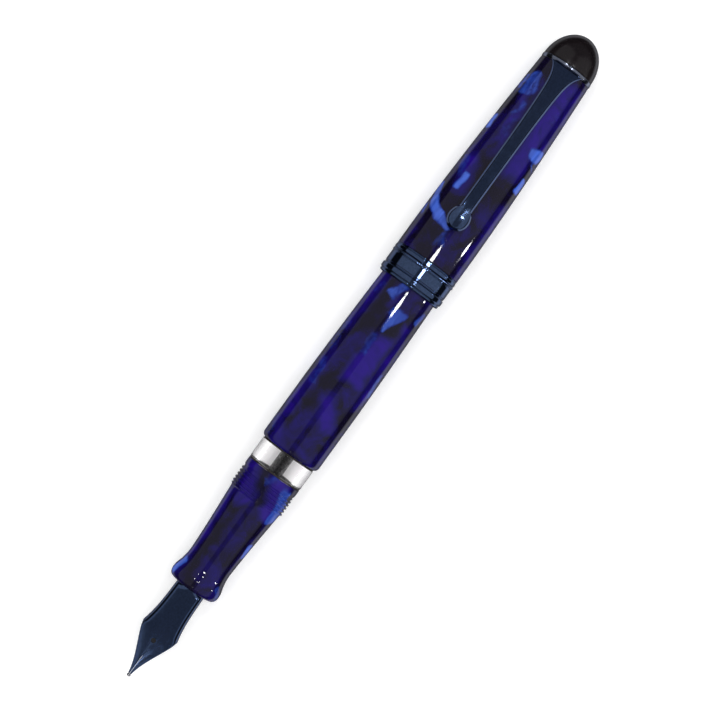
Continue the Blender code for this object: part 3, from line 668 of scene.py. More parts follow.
def nib_shell(name):
    """The nib's sheet: two mirrored halves, each its face, outer edge and underside in one loop.

    Up to the breather hole the inner edge follows the slit and the hole's circle, and has a wall of
    its own. Behind the hole the halves share their points on the middle line.
    """
    slit, hole, thick = millimetres("slit_width", "breather_radius", "nib_thickness")
    slit = slit / 2
    mouth = BREATHER_AT - math.sqrt(hole**2 - slit**2)
    lean = np.linspace(math.acos((BREATHER_AT - mouth) / hole), np.pi, 15)
    station = np.concatenate([
        np.linspace(NIB_START, mouth, 56)[:-1], BREATHER_AT - hole * np.cos(lean),
        np.linspace(BREATHER_AT + hole, 13.0, 26)[1:], np.linspace(13.0, 21.5, 30)[1:],
        np.linspace(21.5, NIB_END, 22)[1:]])
    circle = np.sqrt(np.maximum(hole**2 - (station - BREATHER_AT) ** 2, 0))
    inner = np.where(station <= mouth + 1e-9, slit, circle)
    inner[station >= BREATHER_AT + hole - 1e-9] = 0.0
    top_y, top_z = nib_half(station, inner)
    low_y, low_z = nib_half(station, inner, thick)
    middle_y, middle_z = (top_y[:, -1:] + low_y[:, -1:]) / 2, (top_z[:, -1:] + low_z[:, -1:]) / 2
    run = np.stack([top_y[:, -1:] - top_y[:, -2:-1], top_z[:, -1:] - top_z[:, -2:-1]])
    run = run / np.linalg.norm(run, axis=0) * thick * 0.3
    turn = np.linspace(0, np.pi, 7)[1:-1]
    edge_y = middle_y + (top_y[:, -1:] - middle_y) * np.cos(turn) + run[0] * np.sin(turn)
    edge_z = middle_z + (top_z[:, -1:] - middle_z) * np.cos(turn) + run[1] * np.sin(turn)
    loop_y = np.concatenate([top_y, edge_y, low_y[:, ::-1]], 1)
    loop_z = np.concatenate([top_z, edge_z, low_z[:, ::-1]], 1)
    along = np.repeat(station[:, None], loop_y.shape[1], 1)
    index = np.arange(loop_y.size).reshape(loop_y.shape)
    skin = np.stack([index[:-1, :-1], index[:-1, 1:], index[1:, 1:], index[1:, :-1]], -1)
    wall = np.stack([index[:-1, -1], index[:-1, 0], index[1:, 0], index[1:, -1]], -1)
    faces = [skin.reshape(-1, 4), wall[inner[:-1] > 0], index[:1, ::-1], index[-1:]]
    right = [part + loop_y.size for part in faces]
    left = [part[:, ::-1] for part in faces]
    points = np.concatenate([
        np.stack([along, side * loop_y, loop_z], -1).reshape(-1, 3) for side in (1, -1)])
    near = np.round(points, 6)
    _, first, merged = np.unique(near, axis=0, return_index=True, return_inverse=True)
    return mesh_object(name, points[first], [merged.ravel()[part] for part in left + right])


def tipping_half(name, side):
    """Half of the hard ball on the tip: half circles from one pole to the other, flat on the slit.

    Their radius is that of the ball times the 0.8th power of the sine of the lean.
    """
    long, radius, drop = end_of("nib_tipping_left"), 0.4, 0.28
    slit, = millimetres("slit_width")
    lean, turn = np.meshgrid(np.linspace(0, np.pi, 17), np.linspace(0, np.pi, 17), indexing="ij")
    station = long / 2 * (1 - np.cos(lean))
    reach = radius * np.sin(lean) ** 0.8
    across = side * (slit / 2 + reach * np.sin(turn))
    points = np.stack([station, across, TIP_HEIGHT - drop + reach * np.cos(turn)], -1)
    return grid_object(name, points if side < 0 else points[:, ::-1], caps=True)


class PEN_OT_nib(Operator):
    """Make the blued nib and the two halves of its hard tip"""
    bl_idname = "pen.nib"
    bl_label = "Nib"

    def execute(self, context):
        nib = nib_shell("blued_nib")
        dress(nib, "pen_body", "nib_plating", blued_plating("nib_blue", (0.08, 0.13)), "nib")
        steel = turned_metal("tipping_alloy", context.scene.pen_colours.steel, (0.12, 0.2))
        for name, side in (("nib_tipping_left", 1), ("nib_tipping_right", -1)):
            dress(tipping_half(name + "_ball", side), "pen_body", "nib_tipping", steel, name)
        return {"FINISHED"}


class PEN_OT_feed(Operator):
    """Make the finned feed, its housing and the tube into the ink chamber"""
    bl_idname = "pen.feed"
    bl_label = "Feed"

    def execute(self, context):
        feed = self.comb()
        dress(feed, "pen_body", "black_plastic", moulded_plastic("feed_black"), "feed")
        start, end = span("nib_collar")
        edge = 0.1
        bore, tube_bore, wall = SHANK_R + 0.12, 1.65, start_of("feed_tube") - 0.3
        outline = [(start, HOUSING_R), (end, HOUSING_R), (end, tube_bore), (wall, tube_bore),
                   (wall, bore), (start + 2.2, bore), (start, HOUSING_R - 0.08)]
        outline = rounded(outline, [0.03, edge, edge, edge, edge, 0.3, 0.02])
        dress(turned("nib_housing", outline, around=96), "pen_body", "black_plastic",
              moulded_plastic("housing_black"), "nib_collar")
        tube = ring_outline("feed_tube", 1.55, 0.9, edge)
        dress(turned("feed_tube_moulded", tube, around=96), "pen_body", "black_plastic",
              moulded_plastic("tube_black", (0.2, 0.3)), "feed_tube")
        return {"FINISHED"}

    def comb(self):
        """The feed: the nib's underside above, a round belly below, and a comb of fins cut into it.

        The belly's radius grows as the 0.8th power of the way along. The cuts follow a cosine once
        a pitch, and leave the keel whole.
        """
        start, end = span("feed")
        belly_r, keel, cut_depth = 3.15, 0.09, 0.5
        comb_start, comb_end = 8.2, SECTION_START - 1.2
        pitch, thick = millimetres("fin_pitch", "nib_thickness")
        station = np.unique(np.concatenate([
            np.linspace(start, comb_start, 16), np.arange(comb_start, comb_end, pitch / 8),
            np.linspace(comb_end, NIB_END, 24), np.linspace(NIB_END + 0.1, end, 8)]))
        top_y, top_z = nib_half(station, np.zeros_like(station), thick + 0.1)
        narrow = 0.5 + 0.5 * smooth((station - start + 1.2) / 8.0)[:, None]
        top_y, top_z = top_y[:, ::2] * narrow, np.maximum(top_z[:, ::2], 0.16)
        bottom = belly_r * np.clip((station - start + 0.5) / 14.5, 0, 1) ** 0.8
        slope = np.linspace(0, np.pi, 33)[1:-1]
        wave = smooth((np.cos(2 * np.pi * station / pitch) + 0.35) / 0.5)
        ends = smooth((station - comb_start) / 0.2) * smooth((comb_end - station) / 0.2)
        cut = (cut_depth * wave * ends * smooth(bottom / 1.6))[:, None]
        cut = cut * smooth((np.abs(slope - np.pi / 2) - keel) / 0.05)
        low_y = (np.minimum(top_y[:, -1:], belly_r) - cut) * np.cos(slope)
        low_z = 0.05 - (bottom[:, None] - cut) * np.sin(slope)
        across = np.concatenate([-top_y[:, :0:-1], top_y, low_y], 1)
        height = np.concatenate([top_z[:, :0:-1], top_z, low_z], 1)
        along = np.repeat(station[:, None], across.shape[1], 1)
        return grid_object("combed_feed", np.stack([along, -across, height], -1), caps=True)


# Grip, window and barrel


def threaded(start, turns, pitch, crest, root):
    """Relief of a right-hand thread on its root radius: a ridge once a pitch, moved by the turn."""
    def relief(station, radius, turn):
        share = (station - start) / pitch + turn / (2 * np.pi)
        ridge = smooth(0.5 + 0.72 * np.cos(2 * np.pi * share))
        end = start + turns * pitch
        inside = smooth((station - start) / 0.35) * smooth((end - station) / 0.35)
        on_wall = np.abs(radius - root) < 0.02
        return (crest - root) * ridge * inside * on_wall
    return relief


class PEN_OT_section(Operator):
    """Make the grip section with its lip, waist, cap thread and collar"""
    bl_idname = "pen.section"
    bl_label = "Section"

    def execute(self, context):
        pitch, edge = millimetres("thread_pitch", "edge_round")
        start, end, turns = 43.7, SECTION_END, 6
        root, crest, collar, face = 5.85, 6.15, 6.1, 4.75
        socket, step, bore = 5.3, 46.8, HOUSING_R + 0.1
        lip = quarter(SECTION_START, face, 1.4, 0.85, 14)
        waist = flowing([(23.3, 5.6), (24.1, 5.55), (25.6, 5.14), (27.6, 4.84), (30.0, 4.88),
                         (33.0, 5.03), (38.5, 5.4), (41.5, 5.63), (43.3, 5.76), (start, 5.8)], 0.3)
        thread = np.linspace(start + 0.1, start + turns * pitch, 96)
        thread = np.column_stack([thread, np.full_like(thread, root)])
        back = [(thread[-1, 0], root), (48.75, collar), (end, collar), (end, socket),
                (step, socket), (step, bore), (SECTION_START, bore), (SECTION_START, face)]
        back = rounded(back, edge, closed=False)
        outline = np.concatenate([lip, waist[1:], thread, back[1:-1]])
        section = turned("resin_section", outline, threaded(start, turns, pitch, crest, root))
        dress(marble(section), "pen_body", "section_resin", marbled_resin("section_marble"),
              "section")
        return {"FINISHED"}


class PEN_OT_window(Operator):
    """Make the clear ink window and the seal at each end"""
    bl_idname = "pen.window"
    bl_label = "Ink window"

    def execute(self, context):
        start, end = span("ink_window")
        ring_start, ring_end = end_of("section_seal") + 0.05, start_of("barrel_seal") - 0.05
        front, ring, back, bore = 5.2, 6.1, 5.0, 4.1
        outline = [(start, front), (ring_start, front), (ring_start, ring), (ring_end, ring),
                   (ring_end, back), (end, back), (end, bore), (start, bore)]
        window = rounded(outline, [0.1, 0.05, 0.04, 0.04, 0.05, 0.1, 0.1, 0.1])
        dress(turned("clear_window", window), "pen_body", "clear_acrylic",
              clear_acrylic("window_acrylic"), "ink_window")
        for node, outer, inner in (("section_seal", 6.04, 5.32), ("barrel_seal", 6.0, 5.12)):
            seal = ring_outline(node, outer, inner, 0.05)
            dress(turned(node + "_ring", seal), "pen_body", "rubber",
                  soft_rubber(node + "_rubber"), node)
        return {"FINISHED"}


class PEN_OT_barrel(Operator):
    """Make the marbled barrel with its rounded front edge and its slimmer tail"""
    bl_idname = "pen.barrel"
    bl_label = "Barrel"

    def execute(self, context):
        edge, = millimetres("edge_round")
        face, chamber, guide, step, tail_start = 6.1, 5.1, 4.3, 86.6, 94.7
        front = quarter(BARREL_START, face, 1.1, 0.65, 12)
        body = np.arange(BARREL_START + 1.3, tail_start, 0.3)
        body = np.column_stack([body, barrel_radius(body)])
        tail = [(tail_start, barrel_radius(tail_start)), (96.0, 6.29), (98.5, 6.03), (101.5, 5.8),
                (110.0, 5.43), (117.5, 5.11)]
        inside = rounded([tail[-1], (BARREL_END, 5.1), (BARREL_END, guide), (step, guide),
                          (step, chamber), (BARREL_START, chamber), (BARREL_START, face)],
                         edge, closed=False)
        tail = flowing(tail, 0.6)
        barrel = turned("resin_barrel", np.concatenate([front, body, tail, inside[1:-1]]))
        dress(marble(barrel), "pen_body", "barrel_resin", marbled_resin("barrel_marble"), "barrel")
        return {"FINISHED"}


# Piston drive


def flatted(radius, start, end, flat, softness=0.02):
    """Relief that pares a round down to two flats, one on each side of the pen.

    The pared radius is the flat's distance from the axis over the sine of the turn.
    """
    def relief(station, outline_radius, turn):
        sideways = np.maximum(np.abs(np.sin(turn)), 1e-6)
        pared = np.minimum(outline_radius, flat / sideways) - outline_radius
        inside = smooth((station - start) / softness) * smooth((end - station) / softness)
        return np.where(np.abs(outline_radius - radius) < 0.01, pared * inside, 0.0)
    return relief


class PEN_OT_piston(Operator):
    """Make the brass piston rod with its two flats and the lipped seal on its nose"""
    bl_idname = "pen.piston"
    bl_label = "Piston"

    def execute(self, context):
        start, end = span("piston_rod")
        edge = 0.06
        rod_r, bore, nut, flat = 2.8, 2.0, 1.85, 2.3
        flange_start, flange_end, flange_r, flat_start = 84.2, 85.2, 3.6, 85.4
        nose_wall, bore_start, nut_start = 84.7, 85.7, 109.0
        outline = [(nose_wall, 0.0), (nose_wall, bore), (start, bore), (start, rod_r),
                   (flange_start, rod_r), (flange_start, flange_r), (flange_end, flange_r),
                   (flange_end, rod_r), (flat_start, rod_r), (flat_start + 0.02, rod_r),
                   (end - 0.08, rod_r), (end, rod_r), (end, nut), (nut_start, nut),
                   (nut_start, bore), (bore_start, bore), (bore_start, 0.0)]
        size = [0, *[edge] * 7, 0, 0, 0, 0, *[edge] * 4, 0]
        rod = turned("brass_piston_rod", rounded(outline, size, closed=False),
                     flatted(rod_r, flat_start, end + 1, flat), 96)
        dress(rod, "piston", "brass", turned_metal("rod_brass", context.scene.pen_colours.brass),
              "piston_rod")
        start, end = span("piston_seal")
        lip, waist, bore = 4.04, 3.6, 2.88
        outline = [(start, lip - 0.1), (start + 0.4, lip), (start + 1.8, waist), (end - 1.9, waist),
                   (end - 0.5, lip), (end, lip - 0.1), (end, bore), (start, bore)]
        seal = rounded(outline, [0.1, 0.2, 0.5, 0.5, 0.2, 0.1, 0.1, 0.1])
        dress(turned("piston_seal_lips", seal, around=128), "piston", "rubber",
              soft_rubber("seal_rubber"), "piston_seal")
        return {"FINISHED"}


class PEN_OT_drive(Operator):
    """Make the guide sleeve, its seal and washer, the spindle, its snap ring and the knob"""
    bl_idname = "pen.drive"
    bl_label = "Piston drive"

    def execute(self, context):
        self.guide()
        steel = turned_metal("washer_steel", context.scene.pen_colours.steel)
        washer = ring_outline("knob_washer", 4.2, 2.3, 0.03)
        dress(turned("steel_washer", washer, around=128), "pen_body", "steel", steel, "knob_washer")
        brass = turned_metal("spindle_brass", context.scene.pen_colours.brass)
        dress(self.spindle(), "piston_knob", "brass", brass, "spindle")
        dress(self.snap_ring(), "piston_knob", "steel", steel, "spindle_clip")
        dress(marble(self.knob(), KNOB_SHIFT), "piston_knob", "knob_resin",
              marbled_resin("knob_marble"), "knob")
        return {"FINISHED"}

    def guide(self):
        """The sleeve, with a keyway at its mouth that keeps the rod from turning, and its seal."""
        start, end = span("piston_guide")
        edge = 0.08
        outer, groove, bore, keyway, keyway_end = 4.2, 3.6, 3.1, 2.9, 92.0
        outline = [(start, outer), (110.0, outer), (110.0, groove), (111.0, groove), (111.0, outer),
                   (end, outer), (end, 2.2), (115.4, 2.2), (115.4, bore), (keyway_end, bore),
                   (keyway_end, keyway), (keyway_end - 0.02, keyway), (start, keyway)]
        outline = rounded(outline, [edge] * 10 + [0, 0, 0])
        flats = flatted(keyway, start - 1, keyway_end + 1, 2.4)
        dress(turned("piston_guide_sleeve", outline, flats, 96), "pen_body", "black_plastic",
              moulded_plastic("guide_black"), "piston_guide")
        ring = ring_outline("guide_seal", 4.19, 3.68, 0.22)
        dress(turned("guide_seal_ring", ring, around=128), "pen_body", "rubber",
              soft_rubber("guide_rubber"), "guide_seal")

    def spindle(self):
        """A coarse screw whose radius grows where a cosine of three turns a lead is high."""
        start, end = span("spindle")
        journal, root, lead = 114.0, 1.45, 4.8
        collar, groove = 2.1, 1.6
        threads = np.arange(start + 0.3, journal - 0.2, 0.2)
        threads = np.column_stack([threads, np.full_like(threads, root)])
        ends = [(journal - 0.05, root), (journal, collar), (114.6, collar), (114.6, groove),
                (115.0, groove), (115.0, collar), (end, collar), (end, 0.0)]
        ends = rounded(ends, [0, 0.05, 0.04, 0.03, 0.03, 0.04, 0.15, 0], closed=False)
        nose = [(start, 0.0), (start, root - 0.2), (start + 0.15, root - 0.02)]

        def lobes(station, radius, turn):
            share = 3 * (turn + 2 * np.pi * (station - start) / lead)
            fade = smooth((station - start - 0.25) / 0.5) * smooth((journal - station) / 0.4)
            lobe = 0.2 * smooth(0.5 + 0.6 * np.cos(share)) * fade
            return np.where(np.abs(radius - root) < 0.01, lobe, 0.0)

        return turned("threaded_spindle", np.concatenate([nose, threads, ends]), lobes, 96)

    def snap_ring(self):
        """An open ring: a rounded box carried round all but its mouth, with a flat at each end."""
        half_mouth = 0.42
        section = ring_outline("spindle_clip", 2.85, 1.66, 0.05)
        turn = np.linspace(-np.pi + half_mouth, np.pi - half_mouth, 90)[:, None]
        across, height = -section[:, 1] * np.sin(turn), section[:, 1] * np.cos(turn)
        along = np.broadcast_to(section[:, 0], across.shape)
        points = np.stack([along, across, height], -1)[:, ::-1]
        return grid_object("steel_snap_ring", points, caps=True)

    def knob(self):
        """The barrel's blind end: a tapering side, a rounded nose and the spindle's socket."""
        start, end = span("knob")
        radius, side_start, nose_r = 5.05, 118.8, 1.6
        socket, socket_end = 2.18, 124.1
        edge = 0.08
        side = flowing([(side_start, radius), (120.6, radius - 0.03), (122.2, radius - 0.13),
                        (124.6, radius - 0.46), (end - nose_r, radius - 0.62)], 0.3)
        nose = quarter(0, 0, nose_r, nose_r, 12)[::-1]
        nose = np.column_stack([end - nose[:, 0], radius - 0.62 - nose_r + nose[:, 1]])
        front = rounded([(socket_end, 0.0), (socket_end, socket), (start, socket),
                         (start, radius - 0.15), (side_start, radius)],
                        [0, edge, edge, 0.1, 0], closed=False)
        outline = np.concatenate([front[:-1], side[:-1], nose, [(end, 0.0)]])
        return turned("resin_knob", outline)


# Cap


class PEN_OT_cap(Operator):
    """Make the marbled cap with its inner thread, and the liner pressed inside it"""
    bl_idname = "pen.cap"
    bl_label = "Cap"

    def execute(self, context):
        pitch, edge = millimetres("thread_pitch", "edge_round")
        spigot, lip_bore, bore, mouth = 6.85, 6.42, 5.95, 5.2
        face, root, thread_start, turns = BAND_END + 0.06, 6.25, 101.9, 6
        liner = start_of("inner_cap") - 0.2
        side = np.arange(face + 0.4, CAP_END - 0.15, 0.3)
        side = np.column_stack([side, cap_radius(side)])
        thread = np.linspace(thread_start + turns * pitch, thread_start, 90)
        thread_end = thread[0]
        thread = np.column_stack([thread, np.full_like(thread, root)])
        front = [(thread_start - 0.15, lip_bore), (CAP_START, lip_bore), (CAP_START, spigot),
                 (face, spigot), (face, CAP_R), (face + 0.4, CAP_R)]
        front = rounded(front, [0, edge, edge, edge, 0.14, 0], closed=False)
        back = [side[-1], (CAP_END, cap_radius(CAP_END)), (CAP_END, mouth), (liner, mouth),
                (liner, bore), (thread_end + 0.35, bore), (thread_end, root)]
        back = rounded(back, [0, 0.06, edge, edge, edge, edge, 0], closed=False)
        outline = np.concatenate([front[:-1], side, back[1:-1], thread])
        cap = turned("resin_cap", outline, threaded(thread_start, turns, pitch, bore, root))
        dress(marble(cap), "cap", "cap_resin", marbled_resin("cap_marble"), "cap_body")

        start, end = span("inner_cap")
        outer, bore, hole = 5.1, 4.55, 1.6
        outline = [(start, outer), (end, outer), (end, hole), (end - 1.0, hole), (end - 1.0, bore),
                   (start, bore)]
        liner = turned("cap_liner", rounded(outline, 0.08), around=128)
        dress(liner, "cap", "liner_plastic", moulded_plastic("liner_grey"), "inner_cap")
        return {"FINISHED"}


class PEN_OT_band(Operator):
    """Make the cap's three rings: a beaded lip ring, a band with a milled edge, an upper ring"""
    bl_idname = "pen.band"
    bl_label = "Cap band"

    def execute(self, context):
        bore, high, low = 6.91, BEAD_R, 7.2
        start, end = BAND_START, end_of("cap_lip_ring")
        lip = [(start, 6.95), (start + 0.2, 7.08), (96.55, 7.08), (96.6, 6.98), (96.7, 6.98),
               (96.75, 7.18), (96.95, high), (97.85, high), (98.0, 7.12), (98.05, 7.0),
               (98.15, 7.0), (98.2, 7.14), (end, 7.14), (end, bore), (start, bore)]
        size = [0.06, 0.05, 0.03, 0.03, 0.03, 0.05, 0.22, 0.22, 0.04, 0.03, 0.03, 0.04, 0.05, 0.05,
                0.05]
        self.ring("blued_lip_ring", rounded(lip, size), "cap_lip_ring")
        start, end = span("cap_band")
        edge_at, edge_low, beads, bead_depth = end - 0.48, 7.25, 120, 0.035
        band = [(start, low - 0.02), (edge_at - 0.5, low - 0.02), (edge_at - 0.3, low - 0.02),
                (edge_at - 0.2, 7.13), (edge_at - 0.1, 7.13), (edge_at, high - 0.01),
                (end - 0.1, high - 0.01), (end, low), (end, bore), (start, bore)]
        size = [0.06, 0, 0.03, 0.03, 0.03, 0.06, 0.06, 0.03, 0.05, 0.05]

        def milled(station, radius, turn):
            inside = smooth((station - edge_at + 0.02) / 0.1) * smooth((end - station) / 0.08)
            return -bead_depth * (radius > edge_low) * inside * (0.5 - 0.5 * np.cos(beads * turn))

        self.ring("blued_band", rounded(band, size), "cap_band", milled, beads * 4)
        start, end = span("cap_upper_ring")
        upper = [(start, 7.12), (start + 0.2, high - 0.03), (end - 0.4, high - 0.03),
                 (end - 0.28, 7.16), (end - 0.18, 7.16), (end - 0.12, 7.24), (end, 7.23),
                 (end, bore), (start, bore)]
        size = [0.05, 0.16, 0.16, 0.03, 0.03, 0.04, 0.05, 0.05, 0.05]
        self.ring("blued_upper_ring", rounded(upper, size), "cap_upper_ring")
        return {"FINISHED"}

    def ring(self, name, outline, node, relief=None, around=None):
        """One plated ring of the band."""
        obj = turned(name, outline, relief, around)
        dress(obj, "cap", "trim_plating", blued_plating(name + "_blue"), node)


class PEN_OT_cap_top(Operator):
    """Make the ring that holds the clip, the black dome and the slotted screw below it"""
    bl_idname = "pen.cap_top"
    bl_label = "Cap top"

    def execute(self, context):
        colours = context.scene.pen_colours
        # Painted highlight: the clip ring's plating is lightened all over, standing in for the
        # light line along its chamfer
        tint = tuple(0.6 * value + 0.2 for value in colours.plating)
        dress(self.clip_ring(), "cap", "trim_plating",
              blued_plating("clip_ring_blue", (0.12, 0.2), tint), "clip_ring")
        dress(self.dome(), "cap", "finial_resin",
              finish("dome_black", colours.dome, (0.18, 0.24), 0.0, 700.0, 0.000001, 0.1), "finial")
        dress(self.screw(), "cap", "brass", turned_metal("screw_brass", colours.brass),
              "finial_screw")
        return {"FINISHED"}

    def clip_ring(self):
        """A flat ring with a chamfer towards the cap."""
        start, end = span("clip_ring")
        outer, chamfer, bore = 5.86, 0.3, 1.65
        ring = [(start - 0.05, 5.7), (start - 0.05, outer - 0.14), (start + chamfer, outer),
                (end - 0.1, outer), (end, outer - 0.1), (end, bore), (start, bore)]
        return turned("blued_clip_ring", rounded(ring, 0.03))

    def dome(self):
        """Half an ellipsoid on a short foot, with a blind hole for the screw."""
        base, hole, hole_end, radius, foot_height = start_of("finial"), 1.65, 155.2, 5.75, 0.12
        shoulder = base + foot_height
        lean = np.linspace(0, np.pi / 2, 72)
        rise = LENGTH - shoulder
        dome = np.column_stack([shoulder + rise * np.sin(lean), radius * np.cos(lean)])
        dome[-1, 1] = 0.0
        foot = rounded([(hole_end, 0.0), (hole_end, hole), (base, hole), (base, radius),
                        (shoulder, radius)], [0, 0.1, 0.1, 0.08, 0], closed=False)
        return turned("black_dome", np.concatenate([foot[:-1], dome]))

    def screw(self):
        """A turned screw whose head sinks by the slot's depth along its middle line."""
        start, end = span("finial_screw")
        head_r, stud_r, edge = 2.5, 1.5, 0.08
        head_end, slot, slot_depth, around = start + 1.1, 0.3, 0.45, 192
        ring = np.concatenate([[0.0], np.linspace(0.1, 0.9, 9), [1.0]]) * head_r
        face = np.column_stack([np.full_like(ring, start), ring])
        rest = rounded([(start, head_r - 0.01), (start, head_r), (head_end, head_r),
                        (head_end, stud_r), (end, stud_r), (end, 0.0)],
                       [0, edge, edge, edge, 0.2, 0], closed=False)
        outline = np.concatenate([face[:-1], rest[1:]])
        turn = np.linspace(0, 2 * np.pi, around, endpoint=False)
        station, turn = np.meshgrid(outline[:, 0], turn, indexing="ij")
        radius = np.repeat(outline[:, 1:], around, 1)
        across, height = -radius * np.sin(turn), radius * np.cos(turn)
        sunk = slot_depth * smooth((slot + 0.04 - np.abs(across)) / 0.08)
        station = station + np.where(station < start + 0.3, sunk, 0.0)
        return grid_object("slotted_screw", np.stack([station, across, height], -1))


BEVEL_SHARE, BEVEL_FALL = (0, 0.4, 1), (0, 0.5, 1.58)


def clip_half_width(station):
    """A slim arm that flares in a smooth curve to the root, with a round ball at the free end.

    Arm and ball flow together, as the fifth root of the sum of their fifth powers.
    """
    back = CLIP_ROOT - station
    arm = 1.375 + 1.35 * np.exp(-back / 1.5) + 0.88 * np.exp(-back / 7.5)
    arm = arm * smooth((station - BALL_AT) / 1.6)
    along = np.clip((station - BALL_AT) / BALL_HALF_LENGTH, -1, 1)
    ball = BALL_HALF_WIDTH * np.sqrt(1 - along**2)
    return (ball**5 + arm**5) ** 0.2


def clip_line(station):
    """Height of the straight line along which the arm stands away from the cap."""
    return 5.87 + 0.0675 * (CLIP_ROOT - station)


def clip_underside(station):
    """Height of the clip's underside: the arm's line, from which the ball dips back to the cap."""
    arm = clip_line(station)
    dip = np.exp(-(((station - BALL_AT) / 2.4) ** 4))
    return arm + (cap_radius(station) + 0.1 - arm) * dip


def clip_top(station):
    """Height of the clip's top: thin at the root, then of even thickness, with the ball level."""
    thin = np.exp(-(CLIP_ROOT - station) / 2.6)
    arm = clip_line(station) + 1.2 - 0.7 * thin
    rise = smooth((BALL_AT + 9.5 - station) / 7.5)
    return arm + (9.88 - arm) * rise


def clip_fall(station, across, half, edge, bevel):
    """How far the clip's face falls below its top.

    A slight crown falls as the square of the way across. The bevel falls by its reach times a curve
    of how deep a point lies inside that reach, and on the ball's front half that depth follows the
    round outline. The ball adds a dome: the square of the way across over 16, and of the way to its
    tip over 22.
    """
    front = station < BALL_AT
    end = np.minimum(station - BALL_AT, 0) / BALL_HALF_LENGTH
    to_outline = BALL_HALF_WIDTH * (1 - np.hypot(end, across / BALL_HALF_WIDTH))
    inside = np.where(front, to_outline, half - np.abs(across))
    reach = np.where(front, bevel, edge)
    bevelled = reach * np.interp(1 - np.clip(inside / reach, 0, 1), BEVEL_SHARE, BEVEL_FALL)
    domed = across**2 / 16 * smooth((BALL_AT + 4.5 - station) / 3.5)
    domed = domed + np.minimum(station - BALL_AT - 0.75, 0) ** 2 / 22
    return 0.05 * (across / half) ** 2 + domed + bevelled


class PEN_OT_clip(Operator):
    """Make the blued clip with its bevelled edges, flared root and round ball"""
    bl_idname = "pen.clip"
    bl_label = "Clip"

    def execute(self, context):
        bevel, = millimetres("clip_bevel")
        lean = np.linspace(0, np.pi, 44)[1:-1]
        ball = BALL_AT - BALL_HALF_LENGTH * np.cos(lean)
        arm = np.linspace(ball[-1] + 0.08, CLIP_ROOT, 130)
        station = np.concatenate([ball, arm])[:, None]
        half = np.maximum(clip_half_width(station), 0.05)
        under, top = clip_underside(station), clip_top(station)
        edge = np.minimum(np.minimum(bevel, 0.35 * half), (top - under) / 2)
        wide = np.linspace(-1, 1, 9) * half
        low = np.stack([wide, np.sqrt(under**2 - wide**2)], -1)
        inset = np.concatenate([[0.0, 0.6], np.ones(13), [0.6, 0.0]])
        share = np.concatenate([[1, 1], np.linspace(1, -1, 13), [-1, -1]])
        across = share * (half - inset * edge)
        face = np.stack([across, top - clip_fall(station, across, half, edge, bevel)], -1)
        size = [0.1, *[0] * 7, 0.1, 0.06, 0.05, 0.05, *[0] * 11, 0.05, 0.05, 0.06]
        ring = rounded(np.concatenate([low, face], 1), size, steps=4)
        along = np.repeat(station, ring.shape[1], 1)
        points = np.stack([along, ring[..., 0], ring[..., 1]], -1)
        clip = grid_object("blued_clip", points, caps=True)
        dress(clip, "clip", "trim_plating", blued_plating("clip_blue", (0.07, 0.12)), "clip_arm")
        return {"FINISHED"}


# Stage

# Levels of the studio's light by height, from straight below (0) to straight above (1)
SKY_STOPS = ((0.0, 0.2), (0.08, 0.24), (0.16, 0.66), (0.24, 0.66), (0.29, 0.02), (0.55, 0.02),
             (0.60, 0.15))


def area_light(name, place, aim, size, radiance, shape="RECTANGLE"):
    """A panel that faces a point, its first side along X, as bright all over as its radiance."""
    light = bpy.data.lights.new(name, "AREA")
    light.shape = shape
    light.size, light.size_y = size
    light.energy = radiance * math.pi * size[0] * size[1]
    obj = bpy.data.objects.new(name, light)
    place, aim = np.array(place), np.array(aim)
    away = place - aim
    away = away / np.linalg.norm(away)
    side = np.array([1.0, 0.0, 0.0]) - away[0] * away
    side = side / np.linalg.norm(side)
    up = np.cross(away, side)
    matrix = np.eye(4)
    matrix[:3] = np.column_stack([side, up, away, place])
    obj.matrix_world = Matrix(matrix)
    obj.visible_camera = False
    bpy.context.scene.collection.objects.link(obj)
    return obj


